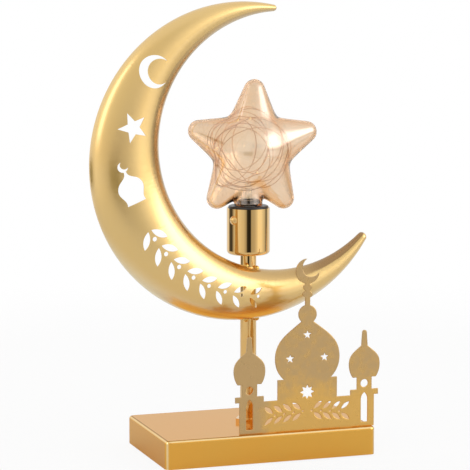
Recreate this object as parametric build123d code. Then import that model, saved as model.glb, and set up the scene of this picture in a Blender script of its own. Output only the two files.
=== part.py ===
from build123d import *
from math import acos, asin, cos, degrees, dist, pi, radians, sin, sqrt
import os

# Crescent-moon table lamp: a pressed crescent on a post, a star bulb in a cup and a pierced skyline panel.
# Millimetres. +Z is up, the front faces -Y, and the origin is the middle of the underside, on the table.

# Base
BASE_LENGTH = 162.0
BASE_WIDTH = 98.0
BASE_HEIGHT = 22.0
BASE_SHEET = 1.0
BASE_CORNER_R = 4.0
BASE_EDGE_R = 2.2
RIM_LIFT = 1.0
PAD_SHEET = 1.5
PAD_INSET = 6.0
PLATE_SHEET = 1.5
PLATE_CLEARANCE = 0.3
PILLAR_D = 7.0
PILLAR_INSET = 12.0
PLATE_SCREW_D = 3.0
PLATE_SCREW_HEAD_D = 5.6
PLATE_SCREW_LENGTH = 9.0
SCREW_SLOT = 0.6

# Cord inlet and terminal block
INLET_BORE_D = 6.0
BUSH_NECK_D = 9.0
BUSH_FLANGE_D = 13.0
BUSH_FLANGE = 1.5
BLOCK_LENGTH = 16.0
BLOCK_WIDTH = 15.0
BLOCK_HEIGHT = 10.0
BLOCK_GAP = 6.0
CLAMP_D = 4.0
CLAMP_BORE_D = 2.2
CLAMP_PITCH = 7.0
BLOCK_SCREW_D = 2.0
BLOCK_SCREW_LENGTH = 3.0

# Post
POST_X = -2.5
POST_Y = -2.0
POST_D = 12.0
POST_BORE_D = 7.0
POST_TAIL = 1.8
POST_NUT_FLATS = 17.0
POST_NUT_HEIGHT = 3.0
POST_WASHER_D = 24.0
POST_WASHER = 1.2
NIPPLE_D = 10.0
NIPPLE_END = 0.4

# Lamp cup and holder
CUP_RISE = 9.3
CUP_D = 32.0
CUP_SHEET = 1.0
CUP_CORNER_R = 3.0
CUP_NUT_FLATS = 14.0
CUP_NUT_HEIGHT = 2.5
CUP_SCREW_D = 3.0
CUP_SCREW_HEAD_D = 6.6
CUP_SCREW_HEAD = 2.3
CUP_SCREW_DROP = 8.4
CUP_SCREW_TURN = 62.0
CUP_SCREW_BITE = 4.0
HOLDER_CLEARANCE = 0.2
HOLDER_PROUD = 1.5
HOLDER_EDGE_R = 1.0
HOLDER_WEB = 4.0
WIRING_ROOM = 4.1
NUT_ROOM = 1.4
SHELL_SHEET = 0.5
SHELL_LIP = 1.0
CONTACT_D = 6.0
CONTACT_HEIGHT = 1.6
CONTACT_GAP = 0.2
RIVET_D = 2.4
TERMINAL_D = 4.4
TERMINAL_HEIGHT = 3.5
TERMINAL_SCREW_D = 1.8
TERMINAL_SCREW_HEAD_D = 3.0
TERMINAL_SCREW_HEAD = 1.2

# Leads from the block, up the post, to the holder
LEAD_D = 1.4
LEAD_CLEARANCE = 0.3
LEAD_BEND_R = 7.0
LEAD_SWAY_R = 1.5

# Crescent: the band between two circles that are not concentric
CRESCENT_X = -10.1
CRESCENT_Z = 217.5
OUTER_R = 117.0
INNER_R = 95.4
CENTRE_GAP = 33.7
OPENING_TILT = 25.0
CRESCENT_TURN = 2.2
TOP_HORN_WIDTH = 5.0
LOW_HORN_WIDTH = 7.5
HORN_STEP = 0.05
CRESCENT_DEPTH = 17.0
DEPTH_POWER = 0.7
CRESCENT_SHEET = 0.9
CRESCENT_SECTIONS = 23
HOLLOW_FROM = 8.0
POST_GAP = 0.2
WELD_R = 2.0
WELD_BITE = 0.1

# Pierced shapes in the crescent, placed by angle from the inner circle's centre
MOON_ANGLE = 152.0
MOON_OUT = 19.6
MOON_R = 11.8
MOON_BITE_R = 9.2
MOON_BITE_GAP = 3.7
STAR_CUT_ANGLE = 173.0
STAR_CUT_OUT = 24.6
STAR_CUT_R = 11.4
STAR_CUT_POINT = 112.0
STAR_CUT_WAIST = 0.43
DOME_CUT_ANGLE = 198.5
DOME_CUT_OUT = 27.9
DOME_CUT_LEAN = 22.0
DOME_CUT_HALF = 9.7
DOME_CUT_HEIGHT = 24.5
DOME_CUT_MOON_R = 3.8
DOME_CUT_MOON_BITE_R = 3.0
DOME_CUT_MOON_BITE_GAP = 1.8
DOME_CUT_MOON_TILT = 35.0
DOME_CUT_MOON_SINK = 0.4
DOME_CUT_PROFILE = ((0.76, 0.0), (0.72, 0.12), (1.0, 0.42), (0.72, 0.7), (0.2, 0.86), (0.1, 1.0))
STAR_POINTS = 5
UPRIGHT = 90.0
SPRAY_START = 209.0
SPRAY_END = 262.0
SPRAY_PAIRS = 8
SPRAY_LEAF_LENGTH = 14.0
SPRAY_LEAF_WIDTH = 5.0
SPRAY_LEAF_LEAN = 38.0
SPRAY_STEM = 2.6
BERRY_R = 1.7

# Skyline panel
PANEL_X = 28.5
PANEL_SETBACK = 4.0
PANEL_SHEET = 1.2
PANEL_HALF = 52.5
WALL_HEIGHT = 23.6
DRUM_HALF = 23.1
DRUM_HEIGHT = 15.0
DOME_FOOT_HALF = 18.2
DOME_HALF = 25.0
DOME_BELLY = 16.6
DOME_HEIGHT = 42.2
DOME_NECK_HALF = 4.6
BALL_R = 7.0
FINIAL_NECK_HALF = 1.85
LOWER_BEAD_HALF = 3.8
UPPER_BEAD_HALF = 3.3
BEAD_RISE = 2.6
FINIAL_R = 9.2
FINIAL_BITE_R = 7.3
FINIAL_BITE_GAP = 4.4
FINIAL_TILT = 42.0
MINARET_REACH = 44.8
ONION_SHOULDERS = ((0.9, 0.36), (0.6, 0.69))
BALCONY_HALF = 10.9
BALCONY_HEIGHT = 4.1
LANTERN_HALF = 5.8
LANTERN_HEIGHT = 9.1
ONION_FOOT_HALF = 9.1
ONION_HALF = 12.0
ONION_BELLY = 11.0
ONION_HEIGHT = 23.6
SPIKE_FOOT_HALF = 2.4
SPIKE_TIP_R = 1.7
SPIKE_HEIGHT = 11.6
ONION_PLINTH = 1.8
ROUND_WINDOW_R = 3.0
ARCH_HALF = 2.7
ARCH_SILL = 3.2
ARCH_HEIGHT = 22.4
ARCH_POINT = 5.5
PANEL_STAR_R = 3.5
PANEL_STAR_SPREAD = 13.4
PANEL_STAR_RISE = 15.2
PANEL_TOP_STAR_RISE = 32.4
ROSETTE_R = 5.6
PANEL_LEAF_LENGTH = 8.4
PANEL_LEAF_WIDTH = 3.0
PANEL_LEAF_PAIRS = 4
PANEL_LEAF_PITCH = 7.2
PANEL_SPRAY_START = 5.0
PANEL_SPRAY_HEIGHT = 14.5
PANEL_SPRAY_DROOP = 0.6
PANEL_BERRY_R = 0.8
ROSETTE_HEIGHT = 28.5
ROSETTE_WAIST = 0.6
ROSETTE_POINTS = 8
TAB_WIDTH = 10.0
TAB_REACH = 7.0
TAB_SPREAD = 30.0
TAB_CLEARANCE = 0.1

# Star bulb
BULB_SEAT_GAP = 0.5
CAP_D = 13.8
CAP_CLEARANCE = 0.1
CAP_SHEET = 0.4
CAP_LENGTH = 17.0
INSULATOR_HEIGHT = 1.4
INSULATOR_TAPER = 2.6
FOOT_CLEARANCE = 0.05
PIP_D = 4.6
PIP_HEIGHT = 0.8
COLLAR_D = 18.0
COLLAR_HEIGHT = 4.0
COLLAR_EDGE_R = 1.5
NECK_CLEARANCE = 0.1
STAR_RISE = 41.0
STAR_SHIFT = 3.0
STAR_LEAN = 2.1
STAR_BODY_R = 26.5
STAR_TIP_R = 8.0
STAR_REACH = 44.0
STAR_FLATNESS = 0.8
STAR_WALL = 1.2
STEM_D = 5.0
STEM_PLUG_D = 8.0
STEM_RISE = 1.6
DRIVER_WIDTH = 8.0
DRIVER_LENGTH = 11.0
DRIVER_SHEET = 1.0

# Light string wound in the star
WIRE_D = 0.6
WIRE_LOOPS = 11
WIRE_CORE_R = 7.0
WIRE_ROOM = 0.3
WIRE_RING_HALF_DEPTH = 9.0
WIRE_ROLLS = 4
WIRE_ROLL_START = 150.0
WIRE_TAIL_SPREAD = 1.6
LED_R = 0.9
LED_GAP = 0.05
LED_EVERY = 3

# Shared clearances
HOLE_CLEARANCE = 0.1

# Places that follow from the sizes above
COVER_ROOF_Z = BASE_HEIGHT - BASE_SHEET
PLATE_TOP_Z = PAD_SHEET + PLATE_SHEET
POST_FOOT_Z = COVER_ROOF_Z - POST_WASHER - POST_NUT_HEIGHT - POST_TAIL
POST_CENTRE = Vector(POST_X, POST_Y, 0)
RIM_Y = POST_Y - POST_D / 2 - POST_GAP
INNER_X = CRESCENT_X + CENTRE_GAP * cos(radians(OPENING_TILT))
INNER_Z = CRESCENT_Z + CENTRE_GAP * sin(radians(OPENING_TILT))
CUP_BASE_Z = INNER_Z - sqrt(INNER_R ** 2 - (POST_X - INNER_X) ** 2) + CUP_RISE
CUP_FLOOR_Z = CUP_BASE_Z + CUP_SHEET
NIPPLE_TOP_Z = CUP_FLOOR_Z + CUP_NUT_HEIGHT + NIPPLE_END
WEB_Z = NIPPLE_TOP_Z + WIRING_ROOM + TERMINAL_HEIGHT
WELL_Z = WEB_Z + HOLDER_WEB
CONTACT_TOP_Z = WELL_Z + CONTACT_HEIGHT
PIP_Z = CONTACT_TOP_Z + CONTACT_GAP
INSULATOR_Z = PIP_Z + PIP_HEIGHT
CAP_Z = INSULATOR_Z + INSULATOR_HEIGHT
COLLAR_Z = CAP_Z + CAP_LENGTH
NECK_BORE_D = COLLAR_D + 2 * NECK_CLEARANCE
HOLDER_TOP_Z = COLLAR_Z - BULB_SEAT_GAP
CUP_RIM_Z = HOLDER_TOP_Z - HOLDER_PROUD
HOLDER_R = CUP_D / 2 - CUP_SHEET - HOLDER_CLEARANCE
CAVITY_R = CUP_NUT_FLATS / sqrt(3) + NUT_ROOM
TERMINAL_REACH = (RIVET_D / 2 + CAVITY_R) / 2
SHELL_R = CAP_D / 2 + CAP_CLEARANCE
STAR_CENTRE = Vector(POST_X + STAR_SHIFT, POST_Y, HOLDER_TOP_Z + STAR_RISE)
WIRE_OUTER_R = STAR_BODY_R - STAR_WALL - WIRE_ROOM
WIRE_RING_R = (WIRE_OUTER_R + WIRE_CORE_R) / 2
WIRE_RING_HALF_WIDTH = (WIRE_OUTER_R - WIRE_CORE_R) / 2
PANEL_Y = PANEL_SETBACK - BASE_WIDTH / 2
INLET_X = POST_X
INLET_Z = (PLATE_TOP_Z + COVER_ROOF_Z) / 2
BLOCK_Y = BASE_WIDTH / 2 - BASE_SHEET - BUSH_FLANGE - BLOCK_GAP - BLOCK_WIDTH / 2
LEAD_Z = PLATE_TOP_Z + BLOCK_HEIGHT / 2
FRONT = Plane.XZ


def rod(diameter, bottom, top, x=POST_X, y=POST_Y):
    """Upright cylinder between two heights, on the post's axis unless told otherwise."""
    return Pos(x, y, (bottom + top) / 2) * Cylinder(diameter / 2, top - bottom)


def tube(diameter, bore, bottom, top, x=POST_X, y=POST_Y):
    """Upright tube between two heights."""
    return rod(diameter, bottom, top, x, y) - rod(bore, bottom, top, x, y)


def hexagon(flats, bore, bottom, top):
    """Hexagon nut on the post's axis, with one corner towards each side."""
    corner_r = flats / sqrt(3)
    blank = extrude(RegularPolygon(corner_r, 6), top - bottom)
    return Pos(POST_X, POST_Y, bottom) * blank - rod(bore, bottom, top)


def turned(points):
    """Solid of revolution about the post's axis from (radius, height) corners."""
    outline = Polyline(*points, close=True)
    return Pos(POST_X, POST_Y, 0) * revolve(FRONT * make_face(outline), Axis.Z)


def drawn_box(length, width, bottom, top, corner_r, edge_r):
    """Box with rounded upright corners and rounded top edges."""
    box = Pos(0, 0, (bottom + top) / 2) * Box(length, width, top - bottom)
    box = fillet(box.edges().filter_by(Axis.Z), corner_r)
    return fillet(box.faces().sort_by(Axis.Z)[-1].edges(), edge_r)


def pillar_places():
    """Where the four pillars and their screws stand."""
    x = BASE_LENGTH / 2 - PILLAR_INSET
    y = BASE_WIDTH / 2 - PILLAR_INSET
    return [(x, y), (-x, y), (-x, -y), (x, -y)]


def tab_places():
    """Middles of the panel's two tabs along X."""
    return [PANEL_X - TAB_SPREAD, PANEL_X + TAB_SPREAD]


def clamp_places():
    """Middles of the terminal block's two clamps along X."""
    return [INLET_X - CLAMP_PITCH / 2, INLET_X + CLAMP_PITCH / 2]


# Base pieces

def base_cover():
    outside = drawn_box(BASE_LENGTH, BASE_WIDTH, RIM_LIFT, BASE_HEIGHT, BASE_CORNER_R, BASE_EDGE_R)
    inside = drawn_box(BASE_LENGTH - 2 * BASE_SHEET, BASE_WIDTH - 2 * BASE_SHEET, RIM_LIFT - BASE_SHEET,
                       COVER_ROOF_Z, BASE_CORNER_R - BASE_SHEET, BASE_EDGE_R - BASE_SHEET)
    cover = outside - inside
    cover -= rod(POST_D + 2 * HOLE_CLEARANCE, COVER_ROOF_Z - BASE_SHEET, BASE_HEIGHT + BASE_SHEET)
    for x in tab_places():
        slot = Box(TAB_WIDTH + 2 * TAB_CLEARANCE, PANEL_SHEET + 2 * TAB_CLEARANCE, 4 * BASE_SHEET)
        cover -= Pos(x, PANEL_Y + PANEL_SHEET / 2, BASE_HEIGHT) * slot
    wall_y = (BASE_WIDTH - BASE_SHEET) / 2
    cover -= Pos(INLET_X, wall_y, INLET_Z) * Rot(90, 0, 0) * Cylinder(BUSH_NECK_D / 2, 4 * BASE_SHEET)
    return cover


def base_plate():
    length = BASE_LENGTH - 2 * (BASE_SHEET + PLATE_CLEARANCE)
    width = BASE_WIDTH - 2 * (BASE_SHEET + PLATE_CLEARANCE)
    plate = extrude(RectangleRounded(length, width, BASE_CORNER_R - BASE_SHEET), PLATE_SHEET)
    plate = Pos(0, 0, PAD_SHEET) * plate
    for x, y in pillar_places():
        plate -= countersunk(x, y, HOLE_CLEARANCE)
    return plate


def countersunk(x, y, room):
    """A flat-headed screw of the plate, or with room around it, the hole that it goes through."""
    head_r = PLATE_SCREW_HEAD_D / 2 + room
    shank_r = PLATE_SCREW_D / 2 + room
    head = Cone(head_r, shank_r, PLATE_SHEET, align=(Align.CENTER, Align.CENTER, Align.MIN))
    shank = Cylinder(shank_r, PLATE_SCREW_LENGTH, align=(Align.CENTER, Align.CENTER, Align.MIN))
    return Pos(x, y, PAD_SHEET) * (head + shank)


def base_plate_screws():
    screws = []
    for x, y in pillar_places():
        slot = Pos(x, y, PAD_SHEET) * Box(PLATE_SCREW_HEAD_D, SCREW_SLOT, 2 * SCREW_SLOT)
        screws.append(countersunk(x, y, 0) - slot)
    return screws


def base_pillars():
    pillars = []
    depth = PAD_SHEET + PLATE_SCREW_LENGTH + PLATE_SHEET
    for x, y in pillar_places():
        tapped = rod(PLATE_SCREW_D + 2 * HOLE_CLEARANCE, PLATE_TOP_Z, depth, x, y)
        pillars.append(rod(PILLAR_D, PLATE_TOP_Z, COVER_ROOF_Z, x, y) - tapped)
    return pillars


def base_pad():
    inset = 2 * (BASE_SHEET + PAD_INSET)
    return extrude(RectangleRounded(BASE_LENGTH - inset, BASE_WIDTH - inset, BASE_CORNER_R), PAD_SHEET)


def cord_bush():
    half = BASE_SHEET / 2 + BUSH_FLANGE
    flange_r = BUSH_FLANGE_D / 2
    neck_r = BUSH_NECK_D / 2
    corners = [(INLET_BORE_D / 2, -half), (flange_r, -half), (flange_r, -BASE_SHEET / 2),
               (neck_r, -BASE_SHEET / 2), (neck_r, BASE_SHEET / 2), (flange_r, BASE_SHEET / 2),
               (flange_r, half), (INLET_BORE_D / 2, half)]
    bush = revolve(FRONT * make_face(Polyline(*corners, close=True)), Axis.Z)
    return Pos(INLET_X, (BASE_WIDTH - BASE_SHEET) / 2, INLET_Z) * Rot(90, 0, 0) * bush


def terminal_block():
    block = Pos(INLET_X, BLOCK_Y, LEAD_Z) * Box(BLOCK_LENGTH, BLOCK_WIDTH, BLOCK_HEIGHT)
    for x in clamp_places():
        block -= Pos(x, BLOCK_Y, LEAD_Z) * Rot(90, 0, 0) * Cylinder(CLAMP_D / 2, BLOCK_WIDTH)
        for y in block_screw_rows():
            block -= rod(BLOCK_SCREW_D + 2 * HOLE_CLEARANCE, LEAD_Z, PLATE_TOP_Z + BLOCK_HEIGHT, x, y)
    return block


def block_screw_rows():
    """Rows of clamping screws, one on the cord's side and one on the leads' side."""
    return [BLOCK_Y - BLOCK_WIDTH / 4, BLOCK_Y + BLOCK_WIDTH / 4]


def block_clamps():
    clamps = []
    for x in clamp_places():
        blank = Cylinder(CLAMP_D / 2, BLOCK_WIDTH) - Cylinder(CLAMP_BORE_D / 2, BLOCK_WIDTH)
        clamp = Pos(x, BLOCK_Y, LEAD_Z) * Rot(90, 0, 0) * blank
        for y in block_screw_rows():
            clamp -= rod(BLOCK_SCREW_D, LEAD_Z, LEAD_Z + CLAMP_D, x, y)
        clamps.append(clamp)
    return clamps


def block_screws():
    screws = []
    bottom = LEAD_Z + CLAMP_BORE_D / 2
    for x in clamp_places():
        for y in block_screw_rows():
            top = bottom + BLOCK_SCREW_LENGTH
            slot = Pos(x, y, top) * Box(BLOCK_SCREW_D, SCREW_SLOT, 2 * SCREW_SLOT)
            screws.append(rod(BLOCK_SCREW_D, bottom, top, x, y) - slot)
    return screws


# Post pieces

def post_tube():
    post = rod(POST_D, POST_FOOT_Z, CUP_BASE_Z) + rod(NIPPLE_D, CUP_BASE_Z, NIPPLE_TOP_Z)
    return post - rod(POST_BORE_D, POST_FOOT_Z, NIPPLE_TOP_Z)


def post_foot_nut():
    return hexagon(POST_NUT_FLATS, POST_D, BASE_HEIGHT, BASE_HEIGHT + POST_NUT_HEIGHT)


def post_washer():
    return tube(POST_WASHER_D, POST_D + 2 * HOLE_CLEARANCE, COVER_ROOF_Z - POST_WASHER, COVER_ROOF_Z)


def post_lock_nut():
    top = COVER_ROOF_Z - POST_WASHER
    return hexagon(POST_NUT_FLATS, POST_D, top - POST_NUT_HEIGHT, top)


# Lamp cup and holder pieces

def cup_screw_frame():
    """Frame at the cup's wall, with Z pointing out along the clamping screw."""
    turn = radians(CUP_SCREW_TURN)
    outward = Vector(-sin(turn), -cos(turn), 0)
    place = POST_CENTRE + outward * (CUP_D / 2) + Vector(0, 0, CUP_RIM_Z - CUP_SCREW_DROP)
    return Plane(origin=place, z_dir=outward)


def cup_screw_hole(diameter):
    """Cylinder along the clamping screw, from the cup's outside to its tip."""
    bite = CUP_SHEET + CUP_SCREW_BITE
    return cup_screw_frame() * Pos(0, 0, -bite / 2) * Cylinder(diameter / 2, bite)


def lamp_cup():
    outside = rod(CUP_D, CUP_BASE_Z, CUP_RIM_Z)
    outside = fillet(outside.edges().sort_by(Axis.Z)[0], CUP_CORNER_R)
    inside = rod(CUP_D - 2 * CUP_SHEET, CUP_FLOOR_Z, CUP_RIM_Z + CUP_SHEET)
    inside = fillet(inside.edges().sort_by(Axis.Z)[0], CUP_CORNER_R - CUP_SHEET)
    cup = outside - inside
    cup -= rod(NIPPLE_D + 2 * HOLE_CLEARANCE, CUP_BASE_Z - CUP_SHEET, CUP_FLOOR_Z + CUP_SHEET)
    return cup - cup_screw_hole(CUP_SCREW_D + 2 * HOLE_CLEARANCE)


def cup_nut():
    return hexagon(CUP_NUT_FLATS, NIPPLE_D, CUP_FLOOR_Z, CUP_FLOOR_Z + CUP_NUT_HEIGHT)


def cup_screw():
    """Round-headed screw whose head sits against the cup's curved wall."""
    head_r = CUP_SCREW_HEAD_D / 2
    dome_r = (head_r ** 2 + CUP_SCREW_HEAD ** 2) / (2 * CUP_SCREW_HEAD)
    dome = Pos(0, 0, CUP_SCREW_HEAD - dome_r) * Sphere(dome_r)
    blank = Cylinder(head_r, CUP_SCREW_HEAD + CUP_SHEET)
    blank = Pos(0, 0, (CUP_SCREW_HEAD - CUP_SHEET) / 2) * blank
    head = cup_screw_frame() * (blank & dome)
    head -= rod(CUP_D, CUP_BASE_Z, CUP_RIM_Z)
    slot = Box(CUP_SCREW_HEAD_D, SCREW_SLOT, 2 * SCREW_SLOT)
    head -= cup_screw_frame() * Pos(0, 0, CUP_SCREW_HEAD) * slot
    return head + cup_screw_hole(CUP_SCREW_D)


def holder_body():
    """Black insulating holder with a wiring cavity below its web and a well for the bulb's cap above."""
    bevel = CUP_CORNER_R - CUP_SHEET
    well_r = SHELL_R + SHELL_SHEET
    foot_r = HOLDER_R - bevel
    body = turned([(CAVITY_R, CUP_FLOOR_Z), (foot_r, CUP_FLOOR_Z), (HOLDER_R, CUP_FLOOR_Z + bevel),
                   (HOLDER_R, HOLDER_TOP_Z), (well_r, HOLDER_TOP_Z), (well_r, WELL_Z), (0, WELL_Z),
                   (0, WEB_Z), (CAVITY_R, WEB_Z)])
    top_edges = body.faces().sort_by(Axis.Z)[-1].edges()
    body = fillet(top_edges.sort_by(Edge.length)[-1], HOLDER_EDGE_R)
    body -= rod(RIVET_D, WEB_Z, WELL_Z)
    return body - cup_screw_hole(CUP_SCREW_D)


def holder_shell():
    return tube(2 * (SHELL_R + SHELL_SHEET), 2 * SHELL_R, WELL_Z, HOLDER_TOP_Z - SHELL_LIP)


def holder_contact():
    """Centre contact: a disc in the well on a rivet through the web."""
    return rod(CONTACT_D, WELL_Z, CONTACT_TOP_Z) + rod(RIVET_D, WEB_Z, WELL_Z)


def terminal_places():
    """Where the holder's two wiring terminals hang, beside the rivet."""
    return [(POST_X - TERMINAL_REACH, POST_Y), (POST_X + TERMINAL_REACH, POST_Y)]


def holder_terminals():
    posts = []
    for x, y in terminal_places():
        post = rod(TERMINAL_D, WEB_Z - TERMINAL_HEIGHT, WEB_Z, x, y)
        middle = WEB_Z - TERMINAL_HEIGHT / 2
        post -= Pos(x, y, middle) * Rot(90, 0, 0) * Cylinder(TERMINAL_SCREW_D / 2, TERMINAL_D)
        posts.append(post)
    return posts


def holder_terminal_screws():
    screws = []
    for x, y in terminal_places():
        middle = WEB_Z - TERMINAL_HEIGHT / 2
        front = y - TERMINAL_D / 2
        shank = Pos(x, y, middle) * Rot(90, 0, 0) * Cylinder(TERMINAL_SCREW_D / 2, TERMINAL_D)
        head = Cylinder(TERMINAL_SCREW_HEAD_D / 2, TERMINAL_SCREW_HEAD)
        screws.append(shank + Pos(x, front - TERMINAL_SCREW_HEAD / 2, middle) * Rot(90, 0, 0) * head)
    return screws


# Leads

def swept_rod(diameter, edges):
    """Round rod along joined edges."""
    path = Wire(edges)
    start = Plane(origin=path.position_at(0), z_dir=path.tangent_at(0))
    return sweep(start * Circle(diameter / 2), path=path)


def lead(side):
    """One insulated lead: out of its clamp, along the base, up the post and out to its terminal."""
    clamp_x = INLET_X + side * CLAMP_PITCH / 2
    post_x = POST_X + side * (POST_BORE_D / 2 - LEAD_CLEARANCE - LEAD_D / 2)
    terminal_x = POST_X + side * TERMINAL_REACH
    terminal_z = WEB_Z - TERMINAL_HEIGHT
    low_z = PLATE_TOP_Z + LEAD_D
    front_y = BLOCK_Y - BLOCK_WIDTH / 2
    bend_y = front_y - (LEAD_Z - low_z) - LEAD_BEND_R / 2
    sway_z = NIPPLE_TOP_Z + LEAD_D / 2
    route = [(clamp_x, front_y, LEAD_Z), (clamp_x, front_y - LEAD_BEND_R / 2, LEAD_Z),
             (post_x, bend_y, low_z), (post_x, POST_Y, low_z), (post_x, POST_Y, sway_z),
             (terminal_x, POST_Y, terminal_z - LEAD_D / 2), (terminal_x, POST_Y, terminal_z)]
    radii = [LEAD_BEND_R, LEAD_BEND_R, LEAD_BEND_R, LEAD_SWAY_R, LEAD_D / 2]
    return swept_rod(LEAD_D, FilletPolyline(*route, radius=radii).edges())


# Crescent pieces

def crescent_width(angle):
    """Width of the band along a ray from the inner circle's centre, at an angle from the opening."""
    turn = radians(angle)
    reach = sqrt(OUTER_R ** 2 - (CENTRE_GAP * sin(turn)) ** 2) - CENTRE_GAP * cos(turn)
    return reach - INNER_R


def crescent_rise(angle):
    """How far the band's crown stands in front of its rims."""
    return CRESCENT_DEPTH * (crescent_width(angle) / crescent_width(180)) ** DEPTH_POWER


def band_frame(angle):
    """Frame on the inner circle's axis: X out along a ray, Y to the front and Z along the band."""
    turn = radians(angle + OPENING_TILT)
    ray = Vector(cos(turn), 0, sin(turn))
    return Plane(origin=(INNER_X, RIM_Y, INNER_Z), x_dir=ray, z_dir=ray.cross(Vector(0, -1, 0)))


def crescent_arch(angle, skin, back):
    """Half-elliptic section of the band, thinned by a skin and drawn out behind the rim by a back."""
    half = crescent_width(angle) / 2 - skin
    middle = INNER_R + crescent_width(angle) / 2
    arch = EllipticalCenterArc((middle, 0), half, crescent_rise(angle) - skin, start_angle=0, arc_size=180)
    corners = [(middle - half, 0), (middle - half, -back), (middle + half, -back), (middle + half, 0)]
    if back == 0:
        corners = [corners[0], corners[-1]]
    return band_frame(angle) * make_face([arch, Polyline(*corners)])


def horn_nose(angle):
    """Rounded end of a horn: the front half of an ellipsoid on its last section."""
    width = crescent_width(angle)
    half = width / 2 - HORN_STEP
    ball = scale(Sphere(1), by=(half, crescent_rise(angle) - HORN_STEP, half))
    front = Box(width, CRESCENT_DEPTH, width, align=(Align.CENTER, Align.MIN, Align.CENTER))
    return band_frame(angle) * Pos(INNER_R + width / 2, 0, 0) * (ball & front)


def band_angle(width):
    """Angle from the opening at which the band has grown to a width."""
    reach = INNER_R + width
    return degrees(acos((OUTER_R ** 2 - reach ** 2 - CENTRE_GAP ** 2) / (2 * reach * CENTRE_GAP)))


def crescent_angles(least_width):
    """Angles of the sections, from horn to horn, where the band is at least as wide as this."""
    first = band_angle(max(TOP_HORN_WIDTH, least_width))
    last = 360 - band_angle(max(LOW_HORN_WIDTH, least_width))
    step = (last - first) / (CRESCENT_SECTIONS - 1)
    return [first + step * index for index in range(CRESCENT_SECTIONS)]


def on_band(angle, out):
    """Point on the crescent's face, by angle about the inner circle and distance out from it."""
    turn = radians(angle)
    return INNER_X + (INNER_R + out) * cos(turn), INNER_Z + (INNER_R + out) * sin(turn)


def star_outline(radius, waist, points, first):
    """Star with sharp points, the first at an angle."""
    corners = []
    for index in range(2 * points):
        reach = radius if index % 2 == 0 else radius * waist
        turn = radians(first + 180 * index / points)
        corners.append((reach * cos(turn), reach * sin(turn)))
    return make_face(Polyline(*corners, close=True))


def leaf(length, width):
    """Pointed leaf along X between two arcs, with its stalk end at the origin."""
    upper = ThreePointArc((0, 0), (length / 2, width / 2), (length, 0))
    lower = ThreePointArc((length, 0), (length / 2, -width / 2), (0, 0))
    return make_face([upper, lower])


def moon_cut():
    x, z = on_band(MOON_ANGLE, MOON_OUT)
    return Pos(x, z) * (Circle(MOON_R) - Pos(MOON_BITE_GAP, 0) * Circle(MOON_BITE_R))


def star_cut():
    x, z = on_band(STAR_CUT_ANGLE, STAR_CUT_OUT)
    return Pos(x, z) * star_outline(STAR_CUT_R, STAR_CUT_WAIST, STAR_POINTS, STAR_CUT_POINT)


def dome_cut():
    """Onion dome with a small crescent on its spike, leaning with the band."""
    side = [(DOME_CUT_HALF * share, DOME_CUT_HEIGHT * rise) for share, rise in DOME_CUT_PROFILE]
    bite = Rot(0, 0, DOME_CUT_MOON_TILT) * Pos(DOME_CUT_MOON_BITE_GAP, 0) * Circle(DOME_CUT_MOON_BITE_R)
    moon_rise = DOME_CUT_HEIGHT + DOME_CUT_MOON_R - DOME_CUT_MOON_SINK
    outline = mirrored(side) + Pos(0, moon_rise) * (Circle(DOME_CUT_MOON_R) - bite)
    x, z = on_band(DOME_CUT_ANGLE, DOME_CUT_OUT)
    return Pos(x, z) * Rot(0, 0, DOME_CUT_LEAN) * outline


def spray_cuts():
    """Leaf spray along the middle of the lower band: pairs of leaves with a berry between them."""
    cuts = []
    step = (SPRAY_END - SPRAY_START) / SPRAY_PAIRS
    for index in range(SPRAY_PAIRS):
        angle = SPRAY_START + step * index
        out = crescent_width(angle - OPENING_TILT) / 2
        x, z = on_band(angle, out)
        size = out / (crescent_width(180) / 2)
        blade = leaf(SPRAY_LEAF_LENGTH * size, SPRAY_LEAF_WIDTH * size)
        for side in (1, -1):
            place = Pos(x, z) * Rot(0, 0, angle + 90) * Pos(0, side * SPRAY_STEM / 2)
            cuts.append(place * Rot(0, 0, side * SPRAY_LEAF_LEAN) * blade)
        berry_x, berry_z = on_band(angle + step / 2, crescent_width(angle + step / 2 - OPENING_TILT) / 2)
        cuts.append(Pos(berry_x, berry_z) * Circle(BERRY_R * size))
    return cuts


def through(outline, near, far):
    """Cutter along Y from an outline drawn as seen from the front."""
    return Pos(0, far, 0) * extrude(FRONT * outline, far - near)


def crescent_shell():
    angles = crescent_angles(0)
    skin = loft([crescent_arch(angle, 0, 0) for angle in angles])
    skin += [horn_nose(angles[0]), horn_nose(angles[-1])]
    inner_angles = crescent_angles(HOLLOW_FROM)
    hollow = loft([crescent_arch(angle, CRESCENT_SHEET, CRESCENT_SHEET) for angle in inner_angles])
    shell = skin - hollow
    near = RIM_Y - 2 * CRESCENT_DEPTH
    cutters = [through(cut, near, RIM_Y) for cut in [moon_cut(), star_cut(), dome_cut()] + spray_cuts()]
    return shell - cutters


def crescent_welds(shell, post):
    """Tack welds that hold the crescent's two rims to the front of the post, seams turned clear of it."""
    beads = []
    wedge = WELD_R - WELD_BITE - POST_GAP
    spread = sqrt(POST_D * wedge - wedge ** 2)
    for circle_x, circle_z, radius in ((CRESCENT_X, CRESCENT_Z, OUTER_R), (INNER_X, INNER_Z, INNER_R)):
        for side in (-1, 1):
            x = POST_X + side * spread
            z = circle_z - sqrt(radius ** 2 - (x - circle_x) ** 2)
            ball = Rot(0, 0, UPRIGHT - side * UPRIGHT / 2) * Sphere(WELD_R)
            bead = Pos(x, RIM_Y, z) * ball - shell - post
            beads.append(bead.solids().sort_by(SortBy.VOLUME)[-1])
    return beads


def about_post(piece):
    """A piece of the crescent, turned about the post to the way that the lamp faces."""
    return Pos(POST_X, POST_Y, 0) * Rot(0, 0, CRESCENT_TURN) * Pos(-POST_X, -POST_Y, 0) * piece


# Panel

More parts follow.
